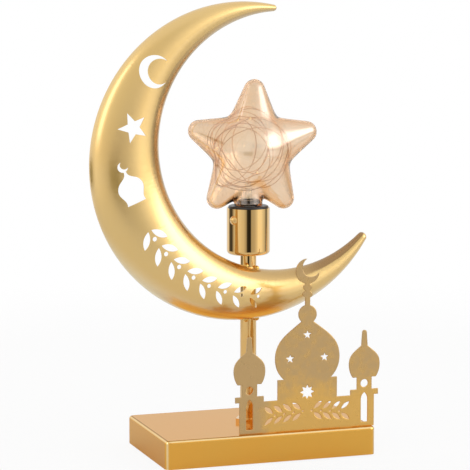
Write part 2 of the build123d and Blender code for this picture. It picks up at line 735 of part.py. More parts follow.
def mirrored(side):
    """Face on the Y axis whose right side is a smooth line through (half width, height) points."""
    right = Spline(*side)
    left = Spline(*[(-half, height) for half, height in side])
    foot = Line((-side[0][0], side[0][1]), side[0])
    head = Line((-side[-1][0], side[-1][1]), side[-1])
    return make_face([right, left, foot, head])


def onion(foot, belly, belly_rise, height, neck):
    """Onion outline on the Y axis: foot at the origin, swelling to its belly and drawn in to a neck."""
    rest = height - belly_rise
    shoulders = [(belly * share, belly_rise + rest * rise) for share, rise in ONION_SHOULDERS]
    return mirrored([(foot, 0), (belly, belly_rise)] + shoulders + [(neck, height)])


def block_face(half, bottom, top):
    """Rectangle centred on the Y axis between two heights."""
    return Pos(0, (bottom + top) / 2) * Rectangle(2 * half, top - bottom)


def minaret():
    """One minaret above the wall, on its own axis."""
    balcony = block_face(BALCONY_HALF, 0, BALCONY_HEIGHT)
    lantern = block_face(LANTERN_HALF, 0, BALCONY_HEIGHT + LANTERN_HEIGHT)
    crown = BALCONY_HEIGHT + LANTERN_HEIGHT
    plinth = block_face(ONION_FOOT_HALF, crown, crown + ONION_PLINTH)
    bulb = onion(ONION_FOOT_HALF, ONION_HALF, ONION_BELLY, ONION_HEIGHT, SPIKE_FOOT_HALF)
    neck = crown + ONION_HEIGHT
    tip = neck + SPIKE_HEIGHT - SPIKE_TIP_R
    spike = make_face(Polyline((-SPIKE_FOOT_HALF, neck), (-SPIKE_TIP_R, tip), (SPIKE_TIP_R, tip),
                               (SPIKE_FOOT_HALF, neck), close=True))
    return balcony + lantern + plinth + Pos(0, crown) * bulb + spike + Pos(0, tip) * Circle(SPIKE_TIP_R)


def finial():
    """Ball, two beads and a crescent above the main dome, from the dome's neck upwards."""
    ball_z = sqrt(BALL_R ** 2 - DOME_NECK_HALF ** 2)
    lower_z = ball_z + BALL_R + 3 * BEAD_RISE
    upper_z = lower_z + 2 * BEAD_RISE
    moon_z = upper_z + BEAD_RISE + FINIAL_R
    moon = Circle(FINIAL_R) - Rot(0, 0, FINIAL_TILT) * Pos(FINIAL_BITE_GAP, 0) * Circle(FINIAL_BITE_R)
    parts = Pos(0, ball_z) * Circle(BALL_R) + block_face(FINIAL_NECK_HALF, ball_z, moon_z - FINIAL_BITE_R)
    parts += Pos(0, lower_z) * Ellipse(LOWER_BEAD_HALF, BEAD_RISE)
    parts += Pos(0, upper_z) * Ellipse(UPPER_BEAD_HALF, BEAD_RISE)
    return parts + Pos(0, moon_z) * moon


def panel_outline():
    """Skyline from the wall's foot up, about the panel's own axis."""
    drum_top = WALL_HEIGHT + DRUM_HEIGHT
    skyline = block_face(PANEL_HALF, 0, WALL_HEIGHT) + block_face(DRUM_HALF, 0, drum_top)
    dome = onion(DOME_FOOT_HALF, DOME_HALF, DOME_BELLY, DOME_HEIGHT, DOME_NECK_HALF)
    skyline += Pos(0, drum_top) * dome + Pos(0, drum_top + DOME_HEIGHT) * finial()
    for side in (-1, 1):
        skyline += Pos(side * MINARET_REACH, WALL_HEIGHT) * minaret()
    return skyline


def arch_window():
    """Pointed window standing on the wall's sill."""
    spring = ARCH_SILL + ARCH_HEIGHT - ARCH_POINT
    point = (0, ARCH_SILL + ARCH_HEIGHT)
    offset = (ARCH_POINT ** 2 - ARCH_HALF ** 2) / (2 * ARCH_HALF)
    radius = ARCH_HALF + offset
    half_turn = asin(ARCH_POINT / radius) / 2
    bow = (radius * cos(half_turn) - offset, spring + radius * sin(half_turn))
    right = ThreePointArc((ARCH_HALF, spring), bow, point)
    left = ThreePointArc(point, (-bow[0], bow[1]), (-ARCH_HALF, spring))
    jambs = Polyline((-ARCH_HALF, spring), (-ARCH_HALF, ARCH_SILL), (ARCH_HALF, ARCH_SILL),
                     (ARCH_HALF, spring))
    return make_face([right, left, jambs])


def panel_cuts():
    """Windows, three stars, a rosette and leaf sprays pierced through the panel."""
    drum_top = WALL_HEIGHT + DRUM_HEIGHT
    lantern_z = WALL_HEIGHT + BALCONY_HEIGHT + LANTERN_HEIGHT / 2
    star = star_outline(PANEL_STAR_R, STAR_CUT_WAIST, STAR_POINTS, UPRIGHT)
    cuts = [Pos(0, drum_top + PANEL_TOP_STAR_RISE) * star]
    for side in (-1, 1):
        cuts.append(Pos(side * MINARET_REACH, 0) * arch_window())
        cuts.append(Pos(side * MINARET_REACH, lantern_z) * Circle(ROUND_WINDOW_R))
        cuts.append(Pos(side * PANEL_STAR_SPREAD, drum_top + PANEL_STAR_RISE) * star)
    rosette = star_outline(ROSETTE_R, ROSETTE_WAIST, ROSETTE_POINTS, UPRIGHT)
    cuts.append(Pos(0, ROSETTE_HEIGHT) * rosette)
    return cuts + panel_sprays()


def panel_sprays():
    """Leaf sprays running out from the rosette to both sides, mirrored about the panel's axis."""
    blade = leaf(PANEL_LEAF_LENGTH, PANEL_LEAF_WIDTH)
    cuts = []
    for side in (1, -1):
        for index in range(PANEL_LEAF_PAIRS):
            reach = PANEL_SPRAY_START + index * PANEL_LEAF_PITCH
            height = PANEL_SPRAY_HEIGHT - index * PANEL_SPRAY_DROOP
            for lean in (SPRAY_LEAF_LEAN, -SPRAY_LEAF_LEAN):
                lift = PANEL_LEAF_WIDTH / 2 if lean > 0 else -PANEL_LEAF_WIDTH / 2
                turn = lean if side > 0 else 180 - lean
                cuts.append(Pos(side * reach, height + lift) * Rot(0, 0, turn) * blade)
            cuts.append(Pos(side * (reach - PANEL_LEAF_WIDTH / 2), height) * Circle(PANEL_BERRY_R))
    return cuts


def mosque_panel():
    front = PANEL_Y
    back = PANEL_Y + PANEL_SHEET
    outline = Pos(PANEL_X, BASE_HEIGHT) * panel_outline()
    sheet = through(outline, front, back)
    sheet -= [through(Pos(PANEL_X, BASE_HEIGHT) * cut, front, back) for cut in panel_cuts()]
    flange_top = COVER_ROOF_Z - TAB_CLEARANCE
    flange_bottom = flange_top - PANEL_SHEET
    for x in tab_places():
        neck = Box(TAB_WIDTH, PANEL_SHEET, BASE_HEIGHT - flange_bottom)
        sheet += Pos(x, (front + back) / 2, (BASE_HEIGHT + flange_bottom) / 2) * neck
        flange = Box(TAB_WIDTH, TAB_REACH, PANEL_SHEET)
        sheet += Pos(x, front + TAB_REACH / 2, (flange_top + flange_bottom) / 2) * flange
    return sheet


# Bulb pieces

def star_arm(body_r, tip_r):
    """Tapered arm along +Z with a round root and a round tip, kept to its fifth of the star."""
    slope = asin((body_r - tip_r) / STAR_REACH)
    root = (body_r * cos(slope), body_r * sin(slope))
    shoulder = (tip_r * cos(slope), STAR_REACH + tip_r * sin(slope))
    tip_turn = pi / 4 - slope / 2
    tip_middle = (tip_r * sin(tip_turn), STAR_REACH + tip_r * cos(tip_turn))
    root_turn = slope / 2 - pi / 4
    root_middle = (body_r * cos(root_turn), body_r * sin(root_turn))
    top = (0, STAR_REACH + tip_r)
    bottom = (0, -body_r)
    edges = [ThreePointArc(bottom, root_middle, root), Line(root, shoulder),
             ThreePointArc(shoulder, tip_middle, top), Line(top, bottom)]
    arm = revolve(FRONT * make_face(edges), Axis.Z)
    half_fifth = pi / STAR_POINTS
    reach = 2 * (STAR_REACH + tip_r)
    width = reach * sin(half_fifth)
    height = reach * cos(half_fifth)
    fifth = make_face(Polyline((0, 0), (width, height), (-width, height), close=True))
    return arm & extrude(FRONT * fifth, 2 * body_r, both=True)


def star_solid(body_r, tip_r):
    """Five arms about the star's middle, flattened from front to back."""
    arm = star_arm(body_r, tip_r)
    star = arm
    for index in range(1, STAR_POINTS):
        star += Rot(0, 360 / STAR_POINTS * index, 0) * arm
    return scale(star, by=(1, STAR_FLATNESS, 1))


def star_glass():
    place = Pos(STAR_CENTRE.X, STAR_CENTRE.Y, STAR_CENTRE.Z) * Rot(0, STAR_LEAN, 0)
    outside = place * star_solid(STAR_BODY_R, STAR_TIP_R)
    inside = place * star_solid(STAR_BODY_R - STAR_WALL, STAR_TIP_R - STAR_WALL)
    neck_top = STAR_CENTRE.Z - STAR_BODY_R + NECK_BORE_D / 3
    glass = outside + rod(NECK_BORE_D + 2 * STAR_WALL, COLLAR_Z, neck_top) - inside
    return glass - rod(NECK_BORE_D, COLLAR_Z, neck_top)


def bulb_collar():
    top = COLLAR_Z + COLLAR_HEIGHT
    collar = rod(COLLAR_D, COLLAR_Z, top)
    collar = fillet(collar.edges().sort_by(Axis.Z)[-1], COLLAR_EDGE_R)
    return collar - rod(STEM_PLUG_D + 2 * NECK_CLEARANCE, COLLAR_Z, top)


def bulb_cap():
    """Thin metal cap, open at the top under the collar and turned in at the bottom."""
    cap = tube(CAP_D, CAP_D - 2 * CAP_SHEET, CAP_Z, COLLAR_Z)
    lip_bore = CAP_D - 2 * INSULATOR_TAPER
    return cap + tube(CAP_D, lip_bore, CAP_Z, CAP_Z + CAP_SHEET)


def cap_insulator():
    """Glassy disc that closes the cap's bottom, tapering to the pip."""
    lip_r = CAP_D / 2 - INSULATOR_TAPER - FOOT_CLEARANCE
    shoulder_r = CAP_D / 2 - CAP_SHEET - FOOT_CLEARANCE
    under = CAP_Z - FOOT_CLEARANCE
    over = CAP_Z + CAP_SHEET + FOOT_CLEARANCE
    return turned([(0, INSULATOR_Z), (PIP_D / 2, INSULATOR_Z), (shoulder_r, under), (lip_r, under),
                   (lip_r, over), (0, over)])


def bulb_contact():
    """Solder pip under the insulator."""
    pip = rod(PIP_D, PIP_Z, INSULATOR_Z)
    return fillet(pip.edges().sort_by(Axis.Z)[0], PIP_HEIGHT / 2)


def stem_top():
    """Height where the light string leaves its stem, just inside the star."""
    return STAR_CENTRE.Z - STAR_BODY_R + STEM_RISE


def led_stem():
    foot = COLLAR_Z + COLLAR_HEIGHT / 2
    plug = rod(STEM_PLUG_D, foot - COLLAR_HEIGHT / 2, foot)
    return plug + rod(STEM_D, foot, stem_top())


def driver_board():
    top = COLLAR_Z
    return Pos(POST_X, POST_Y, top - DRIVER_LENGTH / 2) * Box(DRIVER_WIDTH, DRIVER_SHEET, DRIVER_LENGTH)


def string_point(turn):
    """Middle of the wire after some turns (in radians), rolling round a ring inside the star."""
    roll = radians(WIRE_ROLL_START) + turn * WIRE_ROLLS / WIRE_LOOPS
    reach = WIRE_RING_R + WIRE_RING_HALF_WIDTH * cos(roll)
    swing = turn - pi / 2
    depth = WIRE_RING_HALF_DEPTH * sin(roll)
    return STAR_CENTRE + Vector(reach * cos(swing), depth, reach * sin(swing))


def string_heading(turn):
    """Direction of the wire at that place."""
    small = 0.001
    return (string_point(turn + small) - string_point(turn - small)).normalized()


def string_turns():
    """Quarter turns of the winding, one short of closing on itself."""
    return [pi / 2 * index for index in range(4 * WIRE_LOOPS)]


def biarc(start, heading, end, arrival):
    """Two arcs that leave one point along a heading and reach another along its own."""
    span = end - start
    both = span.dot(heading + arrival)
    spread = 2 * (1 - heading.dot(arrival))
    arm = (sqrt(both ** 2 + spread * span.dot(span)) - both) / spread
    before = start + heading * arm
    after = end - arrival * arm
    middle = (before + after) * 0.5
    return [TangentArc(start, middle, tangent=heading), TangentArc(middle, end, tangent=after - before)]


def string_edges():
    """The wire's whole path: up from the stem, round the winding and back down to the stem."""
    up = Vector(0, 0, 1)
    foot = Vector(POST_X, POST_Y, stem_top())
    inlet = foot + Vector(0, WIRE_TAIL_SPREAD / 2, 0)
    outlet = foot - Vector(0, WIRE_TAIL_SPREAD / 2, 0)
    stops = [(inlet + up * WIRE_D, up)]
    stops += [(string_point(turn), string_heading(turn)) for turn in string_turns()]
    stops.append((outlet + up * WIRE_D, -up))
    edges = [Line(inlet, stops[0][0])]
    for (start, heading), (end, arrival) in zip(stops, stops[1:]):
        edges += biarc(start, heading, end, arrival)
    edges.append(Line(stops[-1][0], outlet))
    return edges


def least_gap(edges, diameter):
    """Smallest clear gap of a wire to itself, measured on points about a millimetre apart."""
    path = Wire(edges)
    count = int(path.length)
    points = [tuple(path.position_at(index / count)) for index in range(count + 1)]
    skip = int(10 * diameter)
    gaps = []
    for index, point in enumerate(points):
        gaps += [dist(point, other) for other in points[index + skip:]]
    return min(gaps) - diameter


def led_wire(edges):
    return swept_rod(WIRE_D, edges)


def led_beads():
    """Small lamps on the outer side of the wire, at even quarter turns."""
    beads = []
    offset = WIRE_D / 2 + LED_R + LED_GAP
    for turn in string_turns()[1::LED_EVERY]:
        point = string_point(turn)
        swing = turn - pi / 2
        core = STAR_CENTRE + Vector(cos(swing), 0, sin(swing)) * WIRE_RING_R
        outward = (point - core).normalized()
        spot = point + outward * offset
        beads.append(Pos(spot.X, spot.Y, spot.Z) * Sphere(LED_R))
    return beads


def all_pieces():
    """Every node's name with its solid or its group of solids."""
    shell = crescent_shell()
    post = post_tube()
    string = string_edges()
    gap = least_gap(string, WIRE_D)
    print("wire: least gap to itself %.2f mm over %.0f mm" % (gap, Wire(string).length))
    return {
        "base_cover": base_cover(),
        "base_plate": base_plate(),
        "base_plate_screws": base_plate_screws(),
        "base_pillars": base_pillars(),
        "base_pad": base_pad(),
        "cord_bush": cord_bush(),
        "terminal_block": terminal_block(),
        "block_clamps": block_clamps(),
        "block_screws": block_screws(),
        "post_tube": post,
        "post_foot_nut": post_foot_nut(),
        "post_washer": post_washer(),
        "post_lock_nut": post_lock_nut(),
        "lamp_cup": lamp_cup(),
        "cup_nut": cup_nut(),
        "cup_screw": cup_screw(),
        "holder_body": holder_body(),
        "holder_shell": holder_shell(),
        "holder_contact": holder_contact(),
        "holder_terminals": holder_terminals(),
        "holder_terminal_screws": holder_terminal_screws(),
        "lead_live": lead(1),
        "lead_neutral": lead(-1),
        "crescent_shell": about_post(shell),
        "crescent_welds": [about_post(bead) for bead in crescent_welds(shell, post)],
        "mosque_panel": mosque_panel(),
        "star_glass": star_glass(),
        "bulb_collar": bulb_collar(),
        "bulb_cap": bulb_cap(),
        "cap_insulator": cap_insulator(),
        "bulb_contact": bulb_contact(),
        "led_stem": led_stem(),
        "driver_board": driver_board(),
        "led_wire": led_wire(string),
        "led_beads": led_beads(),
    }


os.makedirs("parts", exist_ok=True)
for name, piece in all_pieces().items():
    shape = Compound(children=piece) if isinstance(piece, list) else piece
    export_step(shape, os.path.join("parts", name + ".step"))
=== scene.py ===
"""Looks of the crescent lamp: finishes for its metal, and a blown star bulb wound with a light string."""

import math

import bmesh
import bpy
import numpy as np
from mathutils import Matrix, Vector


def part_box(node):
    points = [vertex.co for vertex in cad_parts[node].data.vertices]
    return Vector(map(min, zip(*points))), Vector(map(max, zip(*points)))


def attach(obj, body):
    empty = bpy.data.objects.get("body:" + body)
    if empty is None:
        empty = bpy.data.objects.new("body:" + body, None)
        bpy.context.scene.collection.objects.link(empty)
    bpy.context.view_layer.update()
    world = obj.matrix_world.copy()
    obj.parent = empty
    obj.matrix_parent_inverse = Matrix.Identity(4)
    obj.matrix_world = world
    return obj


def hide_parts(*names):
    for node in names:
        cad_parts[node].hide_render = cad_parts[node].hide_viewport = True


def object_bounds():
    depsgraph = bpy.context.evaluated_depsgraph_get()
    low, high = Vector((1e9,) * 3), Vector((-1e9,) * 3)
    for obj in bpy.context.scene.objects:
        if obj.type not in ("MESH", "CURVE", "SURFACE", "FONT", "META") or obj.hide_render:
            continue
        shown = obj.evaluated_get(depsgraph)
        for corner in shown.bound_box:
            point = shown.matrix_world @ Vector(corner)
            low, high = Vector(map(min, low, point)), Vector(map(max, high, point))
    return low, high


bl_info = {
    "name": "Crescent Lamp",
    "version": (1, 0, 0),
    "blender": (4, 5, 0),
    "location": "View3D > Sidebar > Crescent Lamp",
    "description": "Dresses the packed crescent lamp and sets its studio",
    "category": "Object",
}

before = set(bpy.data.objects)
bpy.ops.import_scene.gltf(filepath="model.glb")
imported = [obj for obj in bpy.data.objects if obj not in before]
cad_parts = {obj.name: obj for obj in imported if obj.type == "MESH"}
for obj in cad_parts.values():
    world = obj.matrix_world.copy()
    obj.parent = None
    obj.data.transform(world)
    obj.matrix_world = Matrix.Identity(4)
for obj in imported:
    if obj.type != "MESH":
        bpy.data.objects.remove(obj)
CAD_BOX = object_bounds()
MM = 0.001
MICRON = 0.000001
POST_AXIS = (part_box("post_foot_nut")[0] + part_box("post_foot_nut")[1]) / 2
COLLAR_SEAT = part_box("bulb_collar")[0].z
STEM_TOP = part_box("led_stem")[1].z
HOLDER_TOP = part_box("holder_body")[1].z
PICTURE_SIZE = 470

# Shares by which a tone's red, green and blue change where plating or glass runs warmer, paler or deeper.
WARMER = (1.02, 0.985, 0.93)
PALER = (0.985, 1.02, 1.1)
DEEPER = (0.985, 0.9, 0.79)

# Patches a metre of what varies over plating: its tone, its haze and its orange-peel relief.
TONE_PATCHES = 18.0
HAZE_PATCHES = 55.0
PEEL_PATCHES = 700.0

# How the winding wanders: each angle starts here, in radians, and grows by so much with every loop. The
# upward one starts at 0, and no loop tilts by more than TILT_MOST.
ROLL_START, ROLL_STEP = 3.573, 1.777
TILT_START, TILT_STEP, TILT_MOST = 2.987, 0.83, 0.896
REACH_START, REACH_STEP = 5.596, 1.736
ASIDE_START, ASIDE_STEP = 1.545, 1.31
UPWARD_STEP = 1.73

# Half outline of a resin drop: places along it and its radius there, as shares of the drop's own radius.
DROP_OUTLINE = (
    (-0.99, 0.02), (-0.891, 0.22), (-0.66, 0.55), (-0.396, 0.86), (0.0, 1.0),
    (0.396, 0.86), (0.66, 0.55), (0.891, 0.22), (0.99, 0.02),
)

# Fineness of the meshes: counts of their points and steps. SHOULDER and POLE_GAP are angles at the post's
# axis, level with the star's middle: one from straight down to where the arms' rings begin, the other from
# the last ring to the top.
STAR_SPOKES = 216
NECK_RINGS = 22
ARM_RINGS = 170
SHOULDER = math.radians(26.0)
POLE_GAP = 0.01
SEARCH_STEPS = 40
SHARE_STEPS = 24
STRING_STEPS = 16
DROP_SIDES = 12
CAP_SPOKES = 72
CAP_ROWS = 120
CAP_SHARP_ANGLE = math.radians(50.0)

# Tones round the room, by degrees: 0 is by the camera, -90 on the left and 180 behind the lamp. The strips
# are what post and cup mirror just below the horizon. The low and high tones lie below and above it.
STRIPS = (
    (-180, 0.9), (-128, 0.9), (-118, 0.1), (-96, 0.06), (-88, 0.5), (-76, 0.75), (-66, 1.0), (-45, 0.9),
    (-24, 0.75), (-11, 0.45), (-6, 0.05), (0, 0.03), (12, 0.02), (16, 0.5), (34, 0.6), (48, 0.9),
    (54, 1.15), (72, 1.15), (84, 0.9), (98, 0.65), (106, 0.2), (116, 0.25), (126, 0.9), (180, 0.9),
)
LOW_TONES = (
    (-180, (0.86, 0.86, 0.86)), (-135, (0.9, 0.9, 0.9)), (-110, (1.0, 1.0, 1.0)), (-60, (0.95, 0.94, 0.9)),
    (-30, (0.8, 0.77, 0.7)), (-5, (0.68, 0.66, 0.62)), (8, (0.56, 0.55, 0.57)), (26, (0.52, 0.52, 0.57)),
    (42, (0.75, 0.75, 0.78)), (70, (0.75, 0.75, 0.75)), (95, (0.5, 0.5, 0.52)), (120, (0.3, 0.27, 0.24)),
    (140, (0.6, 0.6, 0.6)), (180, (0.86, 0.86, 0.86)),
)
HIGH_TONES = (
    (-180, (0.86, 0.86, 0.86)), (-135, (0.9, 0.9, 0.9)), (-110, (1.0, 1.0, 1.0)), (-70, (0.98, 0.98, 0.96)),
    (-40, (0.86, 0.85, 0.8)), (-10, (0.78, 0.76, 0.7)), (25, (0.74, 0.74, 0.72)), (42, (0.95, 0.95, 0.95)),
    (58, (1.1, 1.1, 1.1)), (110, (1.0, 1.0, 0.95)), (145, (0.9, 0.9, 0.9)), (180, (0.86, 0.86, 0.86)),
)
CEILING_TONE = (0.9, 0.9, 0.9)

# Heights, on a ball of radius 1, at which one part of the room runs into the next.
HORIZON = (-0.05, 0.15)
CEILING = (0.72, 0.92)
STRIP_FOOT = (-0.26, -0.19)
STRIP_HEAD = (-0.09, -0.02)

# Lights of the room: where the left and the right edge begin and end, in degrees, and the lower and the upper
# edge, in such heights.
LEFT_LIGHT = ((-78, -70), (-54, -46), (0.08, 0.2), (0.72, 0.82))
LEFT_LIGHT_TONE = (2.3, 2.25, 2.25)
SOFT_BOX = ((46, 64), (82, 108), (-0.02, 0.16), (0.38, 0.66))

# The floor's outline, and the shares of its radius between which it fades out.
FLOOR_SIDES = 96
FLOOR_FADE = (0.5, 0.98)

# Sockets of the node that mixes two colours.
MIX_FACTOR, MIX_FIRST, MIX_SECOND, MIX_RESULT = 0, 6, 7, 2


def length(name, description, millimetres):
    """A size that a user may change, given in millimetres and kept in metres."""
    return bpy.props.FloatProperty(
        name=name, description=description, default=millimetres * MM, min=0.0, unit="LENGTH", precision=5
    )


def colour(name, description, red, green, blue):
    """A colour that a user may change, in linear light."""
    tone = (red, green, blue)
    return bpy.props.FloatVectorProperty(
        name=name, description=description, default=tone, size=3, min=0.0, max=1.0, subtype="COLOR"
    )


def location(name, description, x, y, z):
    """A place that a user may change, in metres."""
    return bpy.props.FloatVectorProperty(
        name=name, description=description, default=(x, y, z), subtype="TRANSLATION"
    )


def whole(name, description, number):
    """A whole number that a user may change."""
    return bpy.props.IntProperty(name=name, description=description, default=number, min=1)


def amount(name, description, value, low=0.0, high=1.0):
    """A plain number that a user may change: a share of 1, unless its range is wider."""
    subtype = "FACTOR" if high == 1.0 else "NONE"
    return bpy.props.FloatProperty(
        name=name, description=description, default=value, min=low, max=high, subtype=subtype
    )


class LampFinishes(bpy.types.PropertyGroup):
    """Colours and gloss of the lamp's metals, glass and plastics."""

    crescent_gold: colour("Crescent gold", "Satin plating of the pressed crescent", 0.83, 0.53, 0.145)
    # Painted shade on the crescent's inner flank.
    flank_shade_gold: colour("Flank gold", "Darker plating of the crescent's inner flank", 0.36, 0.19, 0.045)
    # Painted reflection of the pale floor on the crescent's underside.
    under_reflection_gold: colour("Under gold", "Paler plating on the crescent's underside", 0.93, 0.76, 0.45)
    mirror_gold: colour("Mirror gold", "Bright plating of post, cup and screw", 0.84, 0.53, 0.18)
    base_gold: colour("Base gold", "Polished plating of the base", 0.86, 0.46, 0.08)
    base_slant: colour("Base slant", "Tint of the base's plating seen at a slant", 0.91, 0.81, 0.73)
    # Painted highlight: paler gold along the base's rounded edges.
    highlight_gold: colour("Rubbed gold", "Paler plating where the base's edges are rubbed", 1.0, 0.84, 0.48)
    # Painted dark line inside the base's upper edge.
    rim_shade_gold: colour("Rim gold", "Darker line inside the base's upper rim", 0.3, 0.15, 0.03)
    panel_gold: colour("Panel gold", "Brushed plating of the skyline panel", 0.8, 0.47, 0.12)
    # Painted shade higher up and on the left of the panel, mixed with random duller blotches.
    panel_shade_and_tarnish: colour("Panel tarnish", "Duller plating higher up on the panel", 0.58, 0.38, 0.17)
    stroke_gold: colour("Stroke gold", "Bright metal that brush strokes lay bare", 0.98, 0.8, 0.48)
    amber: colour("Amber glass", "Tint that light takes at the star's skin", 1.0, 0.95, 0.85)
    amber_depth: colour("Amber depth", "Light that stays after a long way in the glass", 0.96, 0.64, 0.34)
    # Painted shade: darker amber where the glass is seen edge on.
    amber_rim_shade: colour("Amber rim", "Tint of the glass where it is seen edge on", 0.85, 0.58, 0.28)
    lustre: amount("Lustre", "How strongly the star's skin mirrors", 0.9)
    copper: colour("Copper wire", "Enamelled wire of the light string", 0.82, 0.56, 0.32)
    lamp_glow: colour("Lamp glow", "Light of the small lamps on the string", 1.0, 0.72, 0.36)
    holder_black: colour("Holder black", "Moulding of the holder and the collar", 0.012, 0.012, 0.014)
    bush_black: colour("Bush black", "Rubber of the cord bush", 0.02, 0.02, 0.02)
    block_white: colour("Block white", "Nylon of the terminal block", 0.72, 0.7, 0.64)
    live_brown: colour("Live brown", "Sleeve of the live lead", 0.09, 0.03, 0.012)
    neutral_blue: colour("Neutral blue", "Sleeve of the neutral lead", 0.02, 0.09, 0.35)
    zinc_plate: colour("Zinc plate", "Sheet that closes the base", 0.56, 0.56, 0.55)
    zinc_screw: colour("Zinc screw", "Hidden screws, nuts and pillars", 0.6, 0.6, 0.58)
    brass: colour("Brass", "Contacts and terminals", 0.72, 0.5, 0.2)
    nickel: colour("Nickel", "Screw cap of the bulb", 0.66, 0.64, 0.6)
    crescent_roughness: amount("Crescent roughness", "How far the crescent blurs what it mirrors", 0.3)
    mirror_roughness: amount("Mirror roughness", "How far post and cup blur what they mirror", 0.035)
    base_roughness: amount("Base roughness", "How far the base blurs what it mirrors", 0.14)
    panel_roughness: amount("Panel roughness", "How far the panel blurs what it mirrors", 0.3)


class BaseForm(bpy.types.PropertyGroup):
    """Rounding of the base's edges."""

    corner: length("Corner", "Radius of the upright corners", 4.0)
    edge: length("Edge", "Radius of the upper edge", 2.2)


class CrescentForm(bpy.types.PropertyGroup):
    """Where the crescent's inner flank lies."""

    arc_x: length("Arc across", "Middle of the inner arc, to the right", 20.4)
    arc_z: length("Arc up", "Middle of the inner arc, above the floor", 231.7)
    # The flank's darker tone is painted shade.
    horn_run: length("Horn run", "How far along the lower horn the flank grows darker", 35.0)
    crease: amount("Crease", "How far a face turns to that middle where the flank begins", 0.4)
    crease_width: amount("Crease width", "How softly the front runs into the flank", 0.14)


class StarForm(bpy.types.PropertyGroup):
    """Sizes of the blown star."""

    body_radius: length("Body radius", "Round middle of the star", 25.6)
    tip_radius: length("Tip radius", "Round end of each arm", 8.0)
    reach: length("Reach", "From the star's middle to the middle of an arm's tip", 44.0)
    wall: length("Wall", "Thickness of the glass", 1.2)
    neck_radius: length("Neck radius", "Outside of the neck round its collar", 10.3)
    blend: length("Blend", "How softly the arms run into each other", 1.6)
    rise: length("Rise", "From the holder's top to the star's middle", 41.0)
    shift: length("Shift", "How far the star stands to the right of the post", 3.0)
    flatness: amount("Flatness", "Depth of the star as a share of its width", 0.8)
    lean: bpy.props.FloatProperty(
        name="Lean",
        description="How far the star leans to the right",
        default=math.radians(2.1),
        subtype="ANGLE",
    )


class StringForm(bpy.types.PropertyGroup):
    """Sizes and counts of the light string."""

    wire: length("Wire", "Diameter of the wire", 0.6)
    mean_radius: length("Mean radius", "Middling size of a loop", 27.72)
    radius_swing: length("Radius swing", "How much larger or smaller a loop may be", 6.93)
    drift: length("Drift", "How far a loop's middle strays", 3.49)
    offset: length("Offset", "How far the winding lies to the left of the star's middle", 5.88)
    clearance: length("Clearance", "Least room between the wire and the glass", 1.2)
    depth_share: amount("Depth share", "Depth of the winding as a share of its width", 0.72)
    tail_spread: length("Tail spread", "Between the two ends in the stem", 1.6)
    lens_radius: length("Lens radius", "Resin drop over each small lamp", 0.9)
    lens_gap: length("Lens gap", "Between the wire and a drop", 0.05)
    loops: whole("Loops", "Times round the star", 11)
    lamp_every: whole("Lamp every", "Quarter turns to the next lamp", 3)
    glow: amount("Glow", "Strength of the small lamps", 0.7, 0.0, 50.0)


class CapForm(bpy.types.PropertyGroup):
    """Sizes of the bulb's rolled screw cap."""

    pitch: length("Pitch", "Rise of the thread in one turn", 2.822)
    depth: length("Depth", "Depth of the rolled thread", 0.6)
    wall: length("Wall", "Thickness of the cap's metal", 0.35)
    lip_radius: length("Lip radius", "Hole in the turned-in bottom", 4.3)
    plain: length("Plain band", "Height at either end in which the thread runs out", 1.2)


class StudioSetup(bpy.types.PropertyGroup):
    """Camera, floor and light."""

    eye: location("Eye", "Where the camera stands", -0.56052, -1.60698, 0.38911)
    target: location("Target", "What the camera looks at", -0.01289, -0.00204, 0.16279)
    focal: amount("Focal length", "In picture widths", 2320.88 / PICTURE_SIZE, 0.1, 50.0)
    floor_radius: length("Floor radius", "Reach of the pale floor", 900.0)
    floor_paper: amount("Floor paper", "How much light the floor gives back", 0.72)
    floor_lift: amount("Floor lift", "How far the seen floor is washed out to white", 0.9)
    soft_box: amount("Soft box", "Brightness of the large light on the right", 3.6, 0.0, 50.0)
    studio: amount("Studio", "Brightness of the room", 1.0, 0.0, 20.0)


class Line:
    """One socket of a node tree: sums of lines and numbers add the nodes that work them out."""

    def __init__(self, tree, socket=None):
        self.tree = tree
        self.socket = socket

    def node(self, kind, settings=None, sockets=None, output=0):
        """Adds a node: its settings first, then the values or lines of its sockets."""
        made = self.tree.nodes.new(kind)
        for name, value in (settings or {}).items():
            if name == "stops":
                fill_ramp(made.color_ramp, value)
            else:
                setattr(made, name, value)
        for name, value in (sockets or {}).items():
            if isinstance(value, Line):
                self.tree.links.new(value.socket, made.inputs[name])
            else:
                made.inputs[name].default_value = fitted(made.inputs[name], value)
        return Line(self.tree, made.outputs[output] if made.outputs else None)

    def maths(self, operation, first, second=0.0):
        """Adds a Math node on values or lines."""
        return self.node("ShaderNodeMath", {"operation": operation}, {0: first, 1: second})

    def __add__(self, other):
        return self.maths("ADD", self, other)

    def __radd__(self, other):
        return self.maths("ADD", other, self)

    def __sub__(self, other):
        return self.maths("SUBTRACT", self, other)

    def __rsub__(self, other):
        return self.maths("SUBTRACT", other, self)

    def __mul__(self, other):
        return self.maths("MULTIPLY", self, other)

    def __rmul__(self, other):
        return self.maths("MULTIPLY", other, self)

    def __truediv__(self, other):
        return self.maths("DIVIDE", self, other)

    def __pow__(self, other):
        return self.maths("POWER", self, other)

    def between(self, low, high):
        """From 0 at one value to 1 at another, held at both ends."""
        settings = {"interpolation_type": "SMOOTHSTEP"}
        return self.node("ShaderNodeMapRange", settings, {"Value": self, "From Min": low, "From Max": high})

    def blend(self, factor, first, second):
        """Colour between two colours or lines."""
        sockets = {MIX_FACTOR: factor, MIX_FIRST: first, MIX_SECOND: second}
        return self.node("ShaderNodeMix", {"data_type": "RGBA"}, sockets, MIX_RESULT)

    def parts(self):
        """X, Y and Z of a vector."""
        made = self.node("ShaderNodeSeparateXYZ", None, {0: self}).socket.node
        return [Line(self.tree, socket) for socket in made.outputs]


def fitted(socket, value):
    """A value as its socket takes it: colours get their fourth number."""
    if socket.type == "RGBA" and len(value) == 3:
        return (*value, 1.0)
    return value


